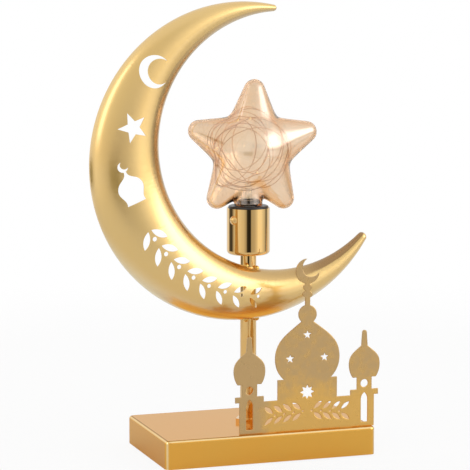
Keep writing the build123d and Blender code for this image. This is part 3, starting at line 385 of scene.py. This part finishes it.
def fill_ramp(ramp, stops):
    """Sets a ramp's stops from pairs of place and brightness or colour."""
    while len(ramp.elements) > 1:
        ramp.elements.remove(ramp.elements[-1])
    for index, (place, tone) in enumerate(stops):
        stop = ramp.elements[0] if index == 0 else ramp.elements.new(place)
        stop.position = place
        stop.color = (tone, tone, tone, 1.0) if isinstance(tone, float) else (*tone, 1.0)


def new_finish(name):
    """An empty material and the line that its nodes start from."""
    material = bpy.data.materials.new(name)
    material.use_nodes = True
    material.node_tree.nodes.clear()
    return material, Line(material.node_tree)


def close_finish(line, sockets):
    """Ends a material in one principled shader with these values and lines."""
    shader = line.node("ShaderNodeBsdfPrincipled", None, sockets)
    line.node("ShaderNodeOutputMaterial", None, {"Surface": shader})


def place_of(line):
    """Place on the object, in metres."""
    return line.node("ShaderNodeTexCoord", output="Object")


def cloud(line, scale, detail=3.0, place=None):
    """Soft noise from 0 to 1, at so many patches a metre."""
    sockets = {"Vector": place or place_of(line), "Scale": scale, "Detail": detail}
    return line.node("ShaderNodeTexNoise", None, sockets)


def bump(line, height, depth, under=None):
    """Small relief of so many metres, on the surface or on a rounder one."""
    sockets = {"Height": height, "Distance": depth, "Strength": 1.0}
    if under:
        sockets["Normal"] = under
    return line.node("ShaderNodeBump", None, sockets)


def tinted(tone, gains):
    """A tone whose red, green and blue are each changed by a share."""
    return tuple(min(1.0, part * gain) for part, gain in zip(tone, gains))


def plating(line):
    """What plating varies by: the drift of its tone and the smears of its haze."""
    return cloud(line, TONE_PATCHES), cloud(line, HAZE_PATCHES, detail=5.0)


def plated(name, tone, roughness, haze, peel, peel_patches=PEEL_PATCHES, lacquer=0.0):
    """Plated metal: tone that drifts a little, hazy patches and faint orange peel, under clear lacquer."""
    material, line = new_finish(name)
    drift, smear = plating(line)
    close_finish(
        line,
        {
            "Base Color": line.blend(drift.between(0.3, 0.7), tinted(tone, WARMER), tinted(tone, PALER)),
            "Metallic": 1.0,
            "Roughness": roughness + haze * (smear - 0.5) + 0.5 * haze * (drift - 0.5),
            "Normal": bump(line, cloud(line, peel_patches, detail=2.0), peel),
            "Coat Weight": lacquer,
            "Coat Roughness": 0.5 * roughness,
        },
    )
    return material


def polished_base(name, finishes, form):
    """Polished plating with a painted highlight, paler and glossier, along the upright corners and the upper
    edge, and a painted dark line inside that edge."""
    material, line = new_finish(name)
    drift, smear = plating(line)
    low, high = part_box("base_cover")
    middle, half = (low + high) / 2, (high - low) / 2
    x, y, z = place_of(line).parts()
    past_side = line.maths("ABSOLUTE", x - middle.x) - half.x
    past_front = line.maths("ABSOLUTE", y - middle.y) - half.y
    # Each of the next four is 0 where the rounding of an edge begins and 1 at the outside.
    side = past_side / form.corner + 1.0
    front = past_front / form.corner + 1.0
    out = line.maths("MAXIMUM", past_side, past_front) / form.edge + 1.0
    top = (z - high.z) / form.edge + 1.0
    corner = side.between(0.4, 0.7) * front.between(0.4, 0.7)
    edge = out.between(0.4, 0.65) * top.between(0.3, 0.6)
    # Painted highlight: paler, glossier gold along the rounded corners and the upper edge.
    highlit = line.maths("MAXIMUM", corner, edge) * (0.75 + 0.5 * (smear - 0.5))
    # Painted dark line: darker gold just inside the upper edge, standing in for a dark reflection.
    rim = out.between(0.02, 0.14) * (1.0 - out.between(0.3, 0.45)) * top.between(0.6, 0.85)
    tone = finishes.base_gold
    flat = line.blend(drift.between(0.3, 0.7), tinted(tone, WARMER), tone)
    highlit_plating = line.blend(highlit, flat, finishes.highlight_gold)
    close_finish(
        line,
        {
            "Base Color": line.blend(rim, highlit_plating, finishes.rim_shade_gold),
            "Metallic": 1.0,
            "Roughness": finishes.base_roughness + 0.05 * (smear - 0.5) - 0.08 * highlit,
            "Normal": bump(line, cloud(line, PEEL_PATCHES, detail=2.0), 3 * MICRON),
            "Specular Tint": finishes.base_slant,
            "Coat Weight": 0.2,
            "Coat Roughness": 0.07,
        },
    )
    return material


def pressed_gold(name, finishes, form):
    """Satin plating under clear lacquer, with painted shade on the flank that turns in to the middle of the
    inner arc, most of all on the lower horn, and a paler painted reflection underneath."""
    material, line = new_finish(name)
    drift, smear = plating(line)
    x, _, z = place_of(line).parts()
    aside, _, up = line.node("ShaderNodeTexCoord", output="Normal").parts()
    across = form.arc_x - x
    above = form.arc_z - z
    facing = (aside * across + up * above) / (across * across + above * above) ** 0.5
    horn = x.between(form.arc_x, form.arc_x + form.horn_run)
    # Painted shade: darker gold on the inner flank, strongest on the lower horn.
    flank = facing.between(form.crease, form.crease + form.crease_width) * (0.45 + 0.55 * horn)
    # Painted reflection: paler gold where faces turn down towards the floor.
    under = (-1.0 * up).between(0.3, 0.75)
    tone = finishes.crescent_gold
    roughness = finishes.crescent_roughness
    front = line.blend(drift.between(0.3, 0.7), tone, tinted(tone, PALER))
    round_front = line.blend(under, front, finishes.under_reflection_gold)
    close_finish(
        line,
        {
            "Base Color": line.blend(flank, round_front, finishes.flank_shade_gold),
            "Metallic": 1.0,
            "Roughness": roughness + 0.03 * (smear - 0.5) - 0.12 * flank,
            "Normal": bump(line, cloud(line, PEEL_PATCHES, detail=2.0), 2 * MICRON),
            "Coat Weight": 1.0 - 0.4 * flank,
            "Coat Roughness": 0.5 * roughness,
            "Coat IOR": 2.0,
        },
    )
    return material


def brushed_panel(name, finishes):
    """Brushed sheet: fine upright strokes, random duller blotches, painted shade higher up and on the left,
    and soft edges.
    """
    material, line = new_finish(name)
    place = place_of(line)
    x, _, z = place.parts()
    stretched = line.node("ShaderNodeMapping", None, {"Vector": place, "Scale": (2600.0, 2600.0, 160.0)})
    strokes = cloud(line, 1.0, detail=2.0, place=stretched)
    blotch = cloud(line, 210.0, detail=5.0)
    broad = cloud(line, 34.0)
    uneven = 1.1 * (blotch - 0.5) + 0.8 * (broad - 0.5)
    # Painted shade: duller towards the top and the left, added to the random blotches.
    higher = z.between(35 * MM, 70 * MM)
    leftward = x.between(4 * MM, -12 * MM)
    dull = 0.8 * higher + 0.9 * leftward + uneven
    sheet = line.blend(dull.between(0.0, 1.0), finishes.panel_gold, finishes.panel_shade_and_tarnish)
    edge = line.node("ShaderNodeBevel", {"samples": 6}, {"Radius": 0.9 * MM})
    close_finish(
        line,
        {
            "Base Color": line.blend(0.1 * strokes, sheet, finishes.stroke_gold),
            "Metallic": 1.0,
            "Roughness": finishes.panel_roughness + 0.12 * (strokes - 0.5) + 0.16 * (blotch - 0.5),
            "Normal": bump(line, 0.5 * strokes + blotch, 10 * MICRON, edge),
        },
    )
    return material


def bare_metal(name, tone, roughness):
    """Plain or zinc-plated metal with fine turned marks and spangle."""
    material, line = new_finish(name)
    spangle = cloud(line, 420.0, detail=4.0)
    stain = cloud(line, 90.0, detail=4.0)
    dark = tuple(part * 0.72 for part in tone)
    close_finish(
        line,
        {
            "Base Color": line.blend(stain.between(0.35, 0.75), tone, dark),
            "Metallic": 1.0,
            "Roughness": roughness + 0.16 * (spangle - 0.5),
            "Normal": bump(line, spangle, 10 * MICRON),
        },
    )
    return material


def moulded(name, tone, roughness):
    """Moulded plastic or rubber: fine grain, a little tone drift and gloss uneven from wear."""
    material, line = new_finish(name)
    fine = cloud(line, 1400.0, detail=2.0)
    drift = cloud(line, 120.0, detail=4.0)
    pale = tuple(min(1.0, part * 1.25 + 0.004) for part in tone)
    close_finish(
        line,
        {
            "Base Color": line.blend(drift.between(0.3, 0.75), tone, pale),
            "Roughness": roughness + 0.12 * (drift - 0.5),
            "Normal": bump(line, fine, 12 * MICRON),
        },
    )
    return material


def felt(name):
    """Pressed felt: matted fibres at two sizes."""
    material, line = new_finish(name)
    fibre = cloud(line, 2600.0, detail=6.0)
    mat = cloud(line, 350.0, detail=5.0)
    matted = 0.6 * fibre + 0.4 * mat
    close_finish(
        line,
        {
            "Base Color": line.blend(matted, (0.012, 0.012, 0.012), (0.075, 0.07, 0.066)),
            "Roughness": 0.9 + 0.1 * mat,
            "Normal": bump(line, matted, 300 * MICRON),
            "Sheen Weight": 0.4,
        },
    )
    return material


def circuit(name):
    """Circuit board: green lacquer over pale tracks."""
    material, line = new_finish(name)
    tracks = line.node(
        "ShaderNodeTexBrick",
        {"offset": 0.5},
        {"Vector": place_of(line), "Scale": 420.0, "Mortar Size": 0.03},
        "Fac",
    )
    close_finish(
        line,
        {
            "Base Color": line.blend(tracks, (0.02, 0.16, 0.06), (0.1, 0.34, 0.14)),
            "Roughness": 0.4 - 0.12 * tracks,
            "Normal": bump(line, tracks, 30 * MICRON),
        },
    )
    return material


def amber_glass(name, finishes):
    """Lustred blown glass: pale amber that drifts, with faint blown streaks, and painted deeper shade where
    seen edge on.
    """
    material, line = new_finish(name)
    place = place_of(line)
    drift = cloud(line, 32.0)
    pulled = line.node("ShaderNodeMapping", None, {"Vector": place, "Scale": (70.0, 70.0, 14.0)})
    streak = cloud(line, 1.0, detail=1.0, place=pulled)
    tone = finishes.amber
    patch = 0.5 * drift.between(0.35, 0.65) + 0.5 * streak.between(0.35, 0.65)
    slant = line.node("ShaderNodeLayerWeight", None, {"Blend": 0.5}, "Facing")
    # Painted shade: the glass turns darker amber where it is seen edge on.
    rim = slant.between(0.15, 0.75)
    shader = line.node(
        "ShaderNodeBsdfPrincipled",
        None,
        {
            "Base Color": line.blend(rim, line.blend(patch, tone, tinted(tone, DEEPER)), finishes.amber_rim_shade),
            "Roughness": 0.012 + 0.03 * streak.between(0.45, 0.8),
            "Normal": bump(line, streak, 120 * MICRON),
            "IOR": 1.46,
            "Transmission Weight": 1.0,
            "Coat Weight": finishes.lustre * (0.85 + 0.3 * drift) * (1.0 - 0.9 * rim),
            "Coat Roughness": 0.06,
            "Coat IOR": 2.2,
        },
    )
    wall = line.node("ShaderNodeVolumeAbsorption", None, {"Color": finishes.amber_depth, "Density": 220.0})
    line.node("ShaderNodeOutputMaterial", None, {"Surface": shader, "Volume": wall})
    return material


def clear_glass(name):
    """Clear drawn glass with small seeds."""
    material, line = new_finish(name)
    seeds = cloud(line, 500.0, detail=2.0)
    close_finish(
        line,
        {
            "Base Color": line.blend(seeds, (0.93, 0.95, 0.93), (1.0, 1.0, 0.98)),
            "Roughness": 0.03 + 0.05 * seeds,
            "Normal": bump(line, seeds, 30 * MICRON),
            "Transmission Weight": 1.0,
            "IOR": 1.5,
        },
    )
    return material


def lit_resin(name, glow, strength):
    """Drop of clear resin over a small warm lamp."""
    material, line = new_finish(name)
    swirl = cloud(line, 900.0, detail=2.0)
    close_finish(
        line,
        {
            "Base Color": line.blend(swirl, (0.95, 0.8, 0.5), (1.0, 0.93, 0.75)),
            "Roughness": 0.12 + 0.1 * swirl,
            "Emission Color": line.blend(swirl, glow, (1.0, 0.86, 0.6)),
            "Emission Strength": strength,
        },
    )
    return material


def dress(material, *nodes):
    """Puts a finish on nodes of the frame."""
    for name in nodes:
        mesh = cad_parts[name].data
        mesh.materials.clear()
        mesh.materials.append(material)


def new_piece(name, mesh, body, slot, material, *nodes):
    """Links a finished mesh or curve as a piece that stands for nodes of the frame and rides on a body."""
    piece = bpy.data.objects.new(name, mesh)
    bpy.context.scene.collection.objects.link(piece)
    mesh.materials.append(material)
    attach(piece, body)
    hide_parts(*nodes)


def smooth_mesh(name, points, faces, sharp_angle=None):
    """A smooth-shaded mesh with its faces turned outwards."""
    mesh = bpy.data.meshes.new(name)
    mesh.from_pydata([tuple(point) for point in points], [], faces)
    shape = bmesh.new()
    shape.from_mesh(mesh)
    bmesh.ops.recalc_face_normals(shape, faces=shape.faces)
    shape.to_mesh(mesh)
    shape.free()
    mesh.polygons.foreach_set("use_smooth", [True] * len(mesh.polygons))
    if sharp_angle:
        mesh.set_sharp_from_angle(angle=sharp_angle)
    return mesh


def ring_faces(first, second, count):
    """Four-sided faces between two rings of points."""
    return [
        (first + step, first + (step + 1) % count, second + (step + 1) % count, second + step)
        for step in range(count)
    ]


def star_centre(form):
    """Middle of the star."""
    return Vector((POST_AXIS.x + form.shift, POST_AXIS.y, HOLDER_TOP + form.rise))


def arm_distance(points, turn, body, tip, reach):
    """Distance to one tapered arm with round ends, for points about the star's middle."""
    axis = np.array([math.sin(turn), 0.0, math.cos(turn)])
    slope = (body - tip) / reach
    side = math.sqrt(1.0 - slope * slope)
    along = points @ axis
    out = np.sqrt(np.maximum((points * points).sum(1) - along * along, 0.0))
    past = side * along - slope * out
    root = np.hypot(out, along) - body
    end = np.hypot(out, along - reach) - tip
    flank = side * out + slope * along - body
    return np.where(past < 0.0, root, np.where(past > side * reach, end, flank))


def star_distance(points, form, inset):
    """Distance to the star and its neck, drawn in by an inset, for points about the star's middle."""
    flat = points * np.array([1.0, 1.0 / form.flatness, 1.0])
    turns = [form.lean + math.tau * index / 5 for index in range(5)]
    body = form.body_radius - inset
    tip = form.tip_radius - inset
    parts = [arm_distance(flat, turn, body, tip, form.reach) for turn in turns]
    across = np.hypot(points[:, 0] + form.shift, points[:, 1])
    below = np.where(points[:, 2] < 0.0, across, np.hypot(across, points[:, 2]))
    parts.append(below - (form.neck_radius - inset))
    return -form.blend * np.log(sum(np.exp(-part / form.blend) for part in parts))


def star_skin(form, inset, angles, spokes):
    """Points of one skin of the star, ring by ring from the open neck up, found along rays from the post's
    axis."""
    rays = np.array(
        [
            (math.sin(angle) * math.cos(spoke), math.sin(angle) * math.sin(spoke), -math.cos(angle))
            for angle in angles
            for spoke in spokes
        ]
    )
    origin = np.array([-form.shift, 0.0, 0.0])
    low = np.zeros(len(rays))
    high = np.full(len(rays), form.reach + 2 * form.tip_radius)
    for _ in range(SEARCH_STEPS):
        middle = (low + high) / 2
        inside = star_distance(origin + rays * middle[:, None], form, inset) < 0.0
        low = np.where(inside, middle, low)
        high = np.where(inside, high, middle)
    return origin + rays * high[:, None]


def star_mesh(form):
    """Blown star with a real wall: an outer and an inner skin, joined at the end of the neck."""
    spokes = [math.tau * index / STAR_SPOKES for index in range(STAR_SPOKES)]
    centre = star_centre(form)
    drop = centre.z - COLLAR_SEAT
    points = []
    faces = []
    starts = []
    for inset in (0.0, form.wall):
        mouth = math.atan((form.neck_radius - inset) / drop)
        neck = list(np.linspace(mouth, SHOULDER, NECK_RINGS))
        angles = neck + list(np.linspace(SHOULDER, math.pi - POLE_GAP, ARM_RINGS))[1:]
        skin = star_skin(form, inset, angles, spokes)
        skin[:STAR_SPOKES, 2] = -drop
        first = len(points)
        starts.append(first)
        points += [tuple(point) for point in skin + np.array(centre)]
        for ring in range(len(angles) - 1):
            faces += ring_faces(first + ring * STAR_SPOKES, first + (ring + 1) * STAR_SPOKES, STAR_SPOKES)
        faces.append(tuple(range(len(points) - STAR_SPOKES, len(points))))
    faces += ring_faces(starts[0], starts[1], STAR_SPOKES)
    return smooth_mesh("star_blown", points, faces)


def string_point(form, star, turn):
    """Middle of the wire after some turns, in radians: loose loops that tilt and wander inside the star."""
    loop = turn / math.tau
    roll = ROLL_START + ROLL_STEP * loop
    tilt = TILT_MOST * math.sin(TILT_START + TILT_STEP * loop)
    reach = form.mean_radius + form.radius_swing * math.sin(REACH_START + REACH_STEP * loop)
    swing = turn - math.pi / 2 - roll
    across = Vector((math.cos(roll), 0.0, math.sin(roll)))
    along = Vector((-math.sin(roll) * math.cos(tilt), math.sin(tilt), math.cos(roll) * math.cos(tilt)))
    aside = math.sin(ASIDE_START + ASIDE_STEP * loop)
    upward = math.cos(UPWARD_STEP * loop)
    stray = form.drift * Vector((aside, 0.0, upward))
    stray.x -= form.offset
    place = stray + reach * (math.cos(swing) * across + math.sin(swing) * along)
    place.y *= form.depth_share
    return star_centre(star) + place * inside_share(form, star, place)


def inside_share(form, star, place):
    """Share of the way from the star's middle at which a place lies clear of the glass."""
    room = -form.clearance
    low, high = 0.0, 1.0
    if star_distance(np.array([place]), star, star.wall)[0] < room:
        return 1.0
    for _ in range(SHARE_STEPS):
        middle = (low + high) / 2
        clear = star_distance(np.array([place * middle]), star, star.wall)[0] < room
        low, high = (middle, high) if clear else (low, middle)
    return low


def string_curve(form, star):
    """The wire as one smooth line: up from the stem, round the winding and back down."""
    last = math.tau * form.loops - math.pi / 2
    count = STRING_STEPS * form.loops
    foot = Vector((POST_AXIS.x, POST_AXIS.y, STEM_TOP))
    half = Vector((0.0, form.tail_spread / 2, 0.0))
    rise = Vector((0.0, 0.0, 2 * form.wire))
    path = [foot + half, foot + half + rise]
    path += [string_point(form, star, last * index / count) for index in range(count + 1)]
    path += [foot - half + rise, foot - half]
    curve = bpy.data.curves.new("light_string", "CURVE")
    curve.dimensions = "3D"
    curve.bevel_depth = form.wire / 2
    curve.bevel_resolution = 2
    curve.resolution_u = 3
    curve.use_fill_caps = True
    spline = curve.splines.new("NURBS")
    spline.points.add(len(path) - 1)
    for point, place in zip(spline.points, path):
        point.co = (*place, 1.0)
    spline.order_u = 4
    spline.use_endpoint_u = True
    return curve


def drops_mesh(form, star):
    """Resin drops over the small lamps, each lying along the wire on the side of the star's middle."""
    nudge = 0.05
    points = []
    faces = []
    centre = star_centre(star)
    turns = [math.pi / 2 * index for index in range(1, 4 * form.loops, form.lamp_every)]
    for turn in turns:
        spot = string_point(form, star, turn)
        before, after = string_point(form, star, turn - nudge), string_point(form, star, turn + nudge)
        heading = (after - before).normalized()
        inward = (centre - spot).normalized()
        outward = (inward - heading * inward.dot(heading)).normalized()
        across = heading.cross(outward).normalized()
        middle = spot + outward * (form.wire / 2 + form.lens_gap + form.lens_radius)
        rings = []
        for along, share in DROP_OUTLINE:
            rings.append(len(points))
            for step in range(DROP_SIDES):
                angle = math.tau * step / DROP_SIDES
                spoke = outward * math.cos(angle) + across * math.sin(angle)
                points.append(middle + form.lens_radius * (along * heading + share * spoke))
        for first, second in zip(rings, rings[1:]):
            faces += ring_faces(first, second, DROP_SIDES)
        faces.append(tuple(range(rings[0], rings[0] + DROP_SIDES)))
        faces.append(tuple(range(rings[-1], rings[-1] + DROP_SIDES)))
    return smooth_mesh("lamp_drops", points, faces)


def circle(radii, height):
    """Points round the post's axis at one height, one for each radius."""
    angles = [math.tau * step / len(radii) for step in range(len(radii))]
    return [
        (POST_AXIS.x + radius * math.cos(angle), POST_AXIS.y + radius * math.sin(angle), height)
        for radius, angle in zip(radii, angles)
    ]


def thread_radii(form, radius, above, below):
    """Radii round the cap, so far above its bottom and below its top: the rolled thread waves in from the
    full radius and runs out near both ends."""
    fade = max(0.0, min(1.0, above / form.plain, below / form.plain))
    waves = [
        0.5 - 0.5 * math.cos(math.tau * above / form.pitch - math.tau * step / CAP_SPOKES)
        for step in range(CAP_SPOKES)
    ]
    return [radius - form.depth * wave * fade for wave in waves]


def cap_mesh(form):
    """Screw cap rolled from thin metal: the thread shows outside and inside, and the bottom is turned in."""
    low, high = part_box("bulb_cap")
    radius = (high.x - low.x) / 2
    points = []
    faces = []
    starts = []
    for inset in (0.0, form.wall):
        first = len(points)
        starts.append(first)
        for row in range(CAP_ROWS + 1):
            height = low.z + (high.z - low.z) * row / CAP_ROWS
            points += circle(thread_radii(form, radius - inset, height - low.z, high.z - height), height)
        for row in range(CAP_ROWS):
            faces += ring_faces(first + row * CAP_SPOKES, first + (row + 1) * CAP_SPOKES, CAP_SPOKES)
    top = CAP_ROWS * CAP_SPOKES
    faces += ring_faces(starts[0] + top, starts[1] + top, CAP_SPOKES)
    lips = []
    for height in (low.z, low.z + form.wall):
        lips.append(len(points))
        points += circle([form.lip_radius] * CAP_SPOKES, height)
    faces += ring_faces(starts[0], lips[0], CAP_SPOKES)
    faces += ring_faces(lips[0], lips[1], CAP_SPOKES)
    faces += ring_faces(lips[1], starts[1], CAP_SPOKES)
    return smooth_mesh("cap_rolled", points, faces, CAP_SHARP_ANGLE)


class LAMP_OT_crescent(bpy.types.Operator):
    """Satin plating on the pressed crescent and the tack welds behind it"""

    bl_idname = "lamp.crescent"
    bl_label = "Crescent"

    def execute(self, context):
        finishes = context.scene.lamp_finishes
        satin = pressed_gold("satin_gold", finishes, context.scene.lamp_crescent)
        weld = plated(
            "weld_gold",
            finishes.crescent_gold,
            roughness=0.4,
            haze=0.2,
            peel=80 * MICRON,
            peel_patches=1500.0,
        )
        dress(satin, "crescent_shell")
        dress(weld, "crescent_welds")
        return {"FINISHED"}


class LAMP_OT_skyline(bpy.types.Operator):
    """Brushed plating on the pierced skyline panel"""

    bl_idname = "lamp.skyline"
    bl_label = "Skyline panel"

    def execute(self, context):
        dress(brushed_panel("brushed_gold", context.scene.lamp_finishes), "mosque_panel")
        return {"FINISHED"}


class LAMP_OT_base(bpy.types.Operator):
    """Polished base cover, its plate, felt and cord bush, and all hidden screws and nuts"""

    bl_idname = "lamp.base"
    bl_label = "Base"

    def execute(self, context):
        finishes = context.scene.lamp_finishes
        dress(polished_base("polished_gold", finishes, context.scene.lamp_base), "base_cover")
        dress(bare_metal("zinc_sheet", finishes.zinc_plate, roughness=0.34), "base_plate")
        dress(
            bare_metal("zinc_fastener", finishes.zinc_screw, roughness=0.3),
            "base_plate_screws", "base_pillars", "block_screws", "post_washer", "post_lock_nut", "cup_nut",
            "holder_terminal_screws",
        )
        dress(felt("black_felt"), "base_pad")
        dress(moulded("bush_rubber", finishes.bush_black, roughness=0.62), "cord_bush")
        return {"FINISHED"}


class LAMP_OT_post(bpy.types.Operator):
    """Mirror plating on the post, its foot nut, the cup and the cup's screw"""

    bl_idname = "lamp.post"
    bl_label = "Post and cup"

    def execute(self, context):
        finishes = context.scene.lamp_finishes
        mirror = plated(
            "mirror_gold",
            finishes.mirror_gold,
            finishes.mirror_roughness,
            haze=0.02,
            peel=MICRON,
            lacquer=0.6,
        )
        dress(mirror, "post_tube", "post_foot_nut", "lamp_cup", "cup_screw")
        return {"FINISHED"}


class LAMP_OT_wiring(bpy.types.Operator):
    """Holder, contacts, terminals, leads and terminal block"""

    bl_idname = "lamp.wiring"
    bl_label = "Holder and wiring"

    def execute(self, context):
        finishes = context.scene.lamp_finishes
        black = moulded("holder_black", finishes.holder_black, roughness=0.3)
        brass = bare_metal("contact_brass", finishes.brass, roughness=0.26)
        dress(black, "holder_body", "bulb_collar", "cap_insulator")
        dress(brass, "holder_shell", "holder_contact", "holder_terminals", "block_clamps")
        dress(moulded("block_nylon", finishes.block_white, roughness=0.45), "terminal_block")
        dress(moulded("lead_brown", finishes.live_brown, roughness=0.38), "lead_live")
        dress(moulded("lead_blue", finishes.neutral_blue, roughness=0.38), "lead_neutral")
        return {"FINISHED"}


class LAMP_OT_cap(bpy.types.Operator):
    """Rolled screw cap of the bulb, with its pip, driver and stem"""

    bl_idname = "lamp.cap"
    bl_label = "Bulb cap"

    def execute(self, context):
        nickel = bare_metal("cap_nickel", context.scene.lamp_finishes.nickel, roughness=0.22)
        new_piece("screw_cap", cap_mesh(context.scene.lamp_cap), "bulb", "nickel_cap", nickel, "bulb_cap")
        dress(nickel, "bulb_contact")
        dress(circuit("driver_green"), "driver_board")
        dress(clear_glass("stem_glass"), "led_stem")
        return {"FINISHED"}


class LAMP_OT_star(bpy.types.Operator):
    """Blown star of amber glass"""

    bl_idname = "lamp.star"
    bl_label = "Star"

    def execute(self, context):
        glass = amber_glass("amber_glass", context.scene.lamp_finishes)
        new_piece("star_bulb", star_mesh(context.scene.lamp_star), "bulb", "amber_glass", glass, "star_glass")
        return {"FINISHED"}


class LAMP_OT_string(bpy.types.Operator):
    """Light string wound in the star, with its small lamps"""

    bl_idname = "lamp.string"
    bl_label = "Light string"

    def execute(self, context):
        finishes, form, star = context.scene.lamp_finishes, context.scene.lamp_string, context.scene.lamp_star
        wire = plated(
            "copper_wire", finishes.copper, roughness=0.28, haze=0.1, peel=10 * MICRON, peel_patches=2000.0
        )
        resin = lit_resin("lamp_resin", finishes.lamp_glow, form.glow)
        new_piece("light_string", string_curve(form, star), "bulb", "copper_wire", wire, "led_wire")
        new_piece("lamp_drops", drops_mesh(form, star), "bulb", "led_lens", resin, "led_beads")
        return {"FINISHED"}


class LAMP_OT_stage(bpy.types.Operator):
    """Camera, pale floor, room and soft light"""

    bl_idname = "lamp.stage"
    bl_label = "Stage"

    def execute(self, context):
        setup = context.scene.lamp_studio
        self.add_camera(context.scene, setup)
        self.add_floor(context.scene, setup)
        self.add_room(context.scene, setup)
        context.scene.view_settings.view_transform = "Standard"
        return {"FINISHED"}

    def add_camera(self, scene, setup):
        lens = bpy.data.cameras.new("photo_camera")
        lens.sensor_fit = "HORIZONTAL"
        lens.lens = setup.focal * lens.sensor_width
        camera = bpy.data.objects.new("photo_camera", lens)
        eye = Vector(setup.eye)
        camera.location = eye
        camera.rotation_euler = (Vector(setup.target) - eye).to_track_quat("-Z", "Y").to_euler()
        scene.collection.objects.link(camera)
        scene.camera = camera

    def add_floor(self, scene, setup):
        shape = bmesh.new()
        bmesh.ops.create_circle(shape, cap_ends=True, segments=FLOOR_SIDES, radius=setup.floor_radius)
        mesh = bpy.data.meshes.new("pale_floor")
        shape.to_mesh(mesh)
        shape.free()
        material, line = new_finish("pale_floor")
        x, y, _ = place_of(line).parts()
        away = (x * x + y * y) ** 0.5
        white = setup.floor_paper
        paper = line.node(
            "ShaderNodeBsdfPrincipled",
            None,
            {
                "Base Color": (white, white, white),
                "Roughness": 0.8 + 0.05 * cloud(line, 30.0),
                "Specular IOR Level": 0.1,
            },
        )
        gone = line.node("ShaderNodeBsdfTransparent")
        seen = line.node("ShaderNodeLightPath", output="Is Camera Ray")
        edge = away.between(*(share * setup.floor_radius for share in FLOOR_FADE))
        washed = edge + (1.0 - edge) * seen * setup.floor_lift
        faded = line.node("ShaderNodeMixShader", None, {0: washed, 1: paper, 2: gone})
        line.node("ShaderNodeOutputMaterial", None, {"Surface": faded})
        mesh.materials.append(material)
        floor = bpy.data.objects.new("pale_floor", mesh)
        floor.location.z = CAD_BOX[0].z
        scene.collection.objects.link(floor)

    def add_room(self, scene, setup):
        """A pale room, dim by the camera, with a large soft box on the right, a smaller light on the left and
        upright strips just below the horizon. The camera itself sees plain white."""
        world = bpy.data.worlds.new("soft_studio")
        world.use_nodes = True
        world.node_tree.nodes.clear()
        scene.world = world
        line = Line(world.node_tree)
        x, y, z = line.node("ShaderNodeTexCoord", output="Generated").parts()
        eye = Vector(setup.eye) - Vector(setup.target)
        reach = math.hypot(eye.x, eye.y)
        towards = -eye.x / reach * x - eye.y / reach * y
        aside = eye.y / reach * x - eye.x / reach * y
        turn = line.maths("ARCTAN2", -1.0 * aside, -1.0 * towards) / math.tau + 0.5
        low, high, strips = (self.around(turn, tones) for tones in (LOW_TONES, HIGH_TONES, STRIPS))
        level = line.blend(z.between(*HORIZON), low, high)
        level = line.blend(z.between(*CEILING), level, CEILING_TONE)
        level = line.blend(self.window(turn, z, *LEFT_LIGHT), level, LEFT_LIGHT_TONE)
        level = line.blend(self.window(turn, z, *SOFT_BOX), level, (setup.soft_box,) * 3)
        strip = z.between(*STRIP_FOOT) * (1.0 - z.between(*STRIP_HEAD))
        level = line.blend(strip, level, strips)
        seen = line.node("ShaderNodeLightPath", output="Is Camera Ray")
        shown = line.blend(seen, level, (1.0, 1.0, 1.0))
        light = line.node("ShaderNodeBackground", None, {"Color": shown, "Strength": setup.studio})
        line.node("ShaderNodeOutputWorld", None, {"Surface": light})

    def around(self, turn, tones):
        """Tone of the room by the turn round it."""
        stops = [(self.share(angle), tone) for angle, tone in tones]
        return turn.node("ShaderNodeValToRGB", {"stops": stops}, {0: turn})

    def window(self, turn, height, left, right, bottom, top):
        """A soft-edged patch of the room: edges to the left and right in degrees, and in height."""
        rise = turn.between(*(self.share(angle) for angle in left))
        fall = turn.between(*(self.share(angle) for angle in right))
        return rise * (1.0 - fall) * height.between(*bottom) * (1.0 - height.between(*top))

    def share(self, angle):
        """An angle in degrees as a share of the whole turn from behind the lamp."""
        return (angle + 180) / 360


class LAMP_PT_dresser(bpy.types.Panel):
    """Lists the lamp's pieces and their settings"""

    bl_idname = "LAMP_PT_dresser"
    bl_label = "Crescent Lamp"
    bl_space_type = "VIEW_3D"
    bl_region_type = "UI"
    bl_category = "Crescent Lamp"

    def draw(self, context):
        column = self.layout.column()
        for operator in OPERATORS:
            column.operator(operator.bl_idname)
        for name in GROUPS:
            box = self.layout.box()
            group = getattr(context.scene, name)
            for prop in group.bl_rna.properties:
                if prop.identifier not in ("rna_type", "name"):
                    box.prop(group, prop.identifier)


GROUPS = {
    "lamp_finishes": LampFinishes,
    "lamp_base": BaseForm,
    "lamp_crescent": CrescentForm,
    "lamp_star": StarForm,
    "lamp_string": StringForm,
    "lamp_cap": CapForm,
    "lamp_studio": StudioSetup,
}
OPERATORS = (
    LAMP_OT_stage,
    LAMP_OT_crescent,
    LAMP_OT_skyline,
    LAMP_OT_base,
    LAMP_OT_post,
    LAMP_OT_wiring,
    LAMP_OT_cap,
    LAMP_OT_star,
    LAMP_OT_string,
)


def register():
    for kind in (*GROUPS.values(), *OPERATORS, LAMP_PT_dresser):
        bpy.utils.register_class(kind)
    for name, group in GROUPS.items():
        setattr(bpy.types.Scene, name, bpy.props.PointerProperty(type=group))


def unregister():
    for name in GROUPS:
        delattr(bpy.types.Scene, name)
    for kind in reversed((*GROUPS.values(), *OPERATORS, LAMP_PT_dresser)):
        bpy.utils.unregister_class(kind)


def main():
    register()
    bpy.ops.lamp.stage()
    bpy.ops.lamp.crescent()
    bpy.ops.lamp.skyline()
    bpy.ops.lamp.base()
    bpy.ops.lamp.post()
    bpy.ops.lamp.wiring()
    bpy.ops.lamp.cap()
    bpy.ops.lamp.star()
    bpy.ops.lamp.string()


if __name__ == "__main__":
    main()
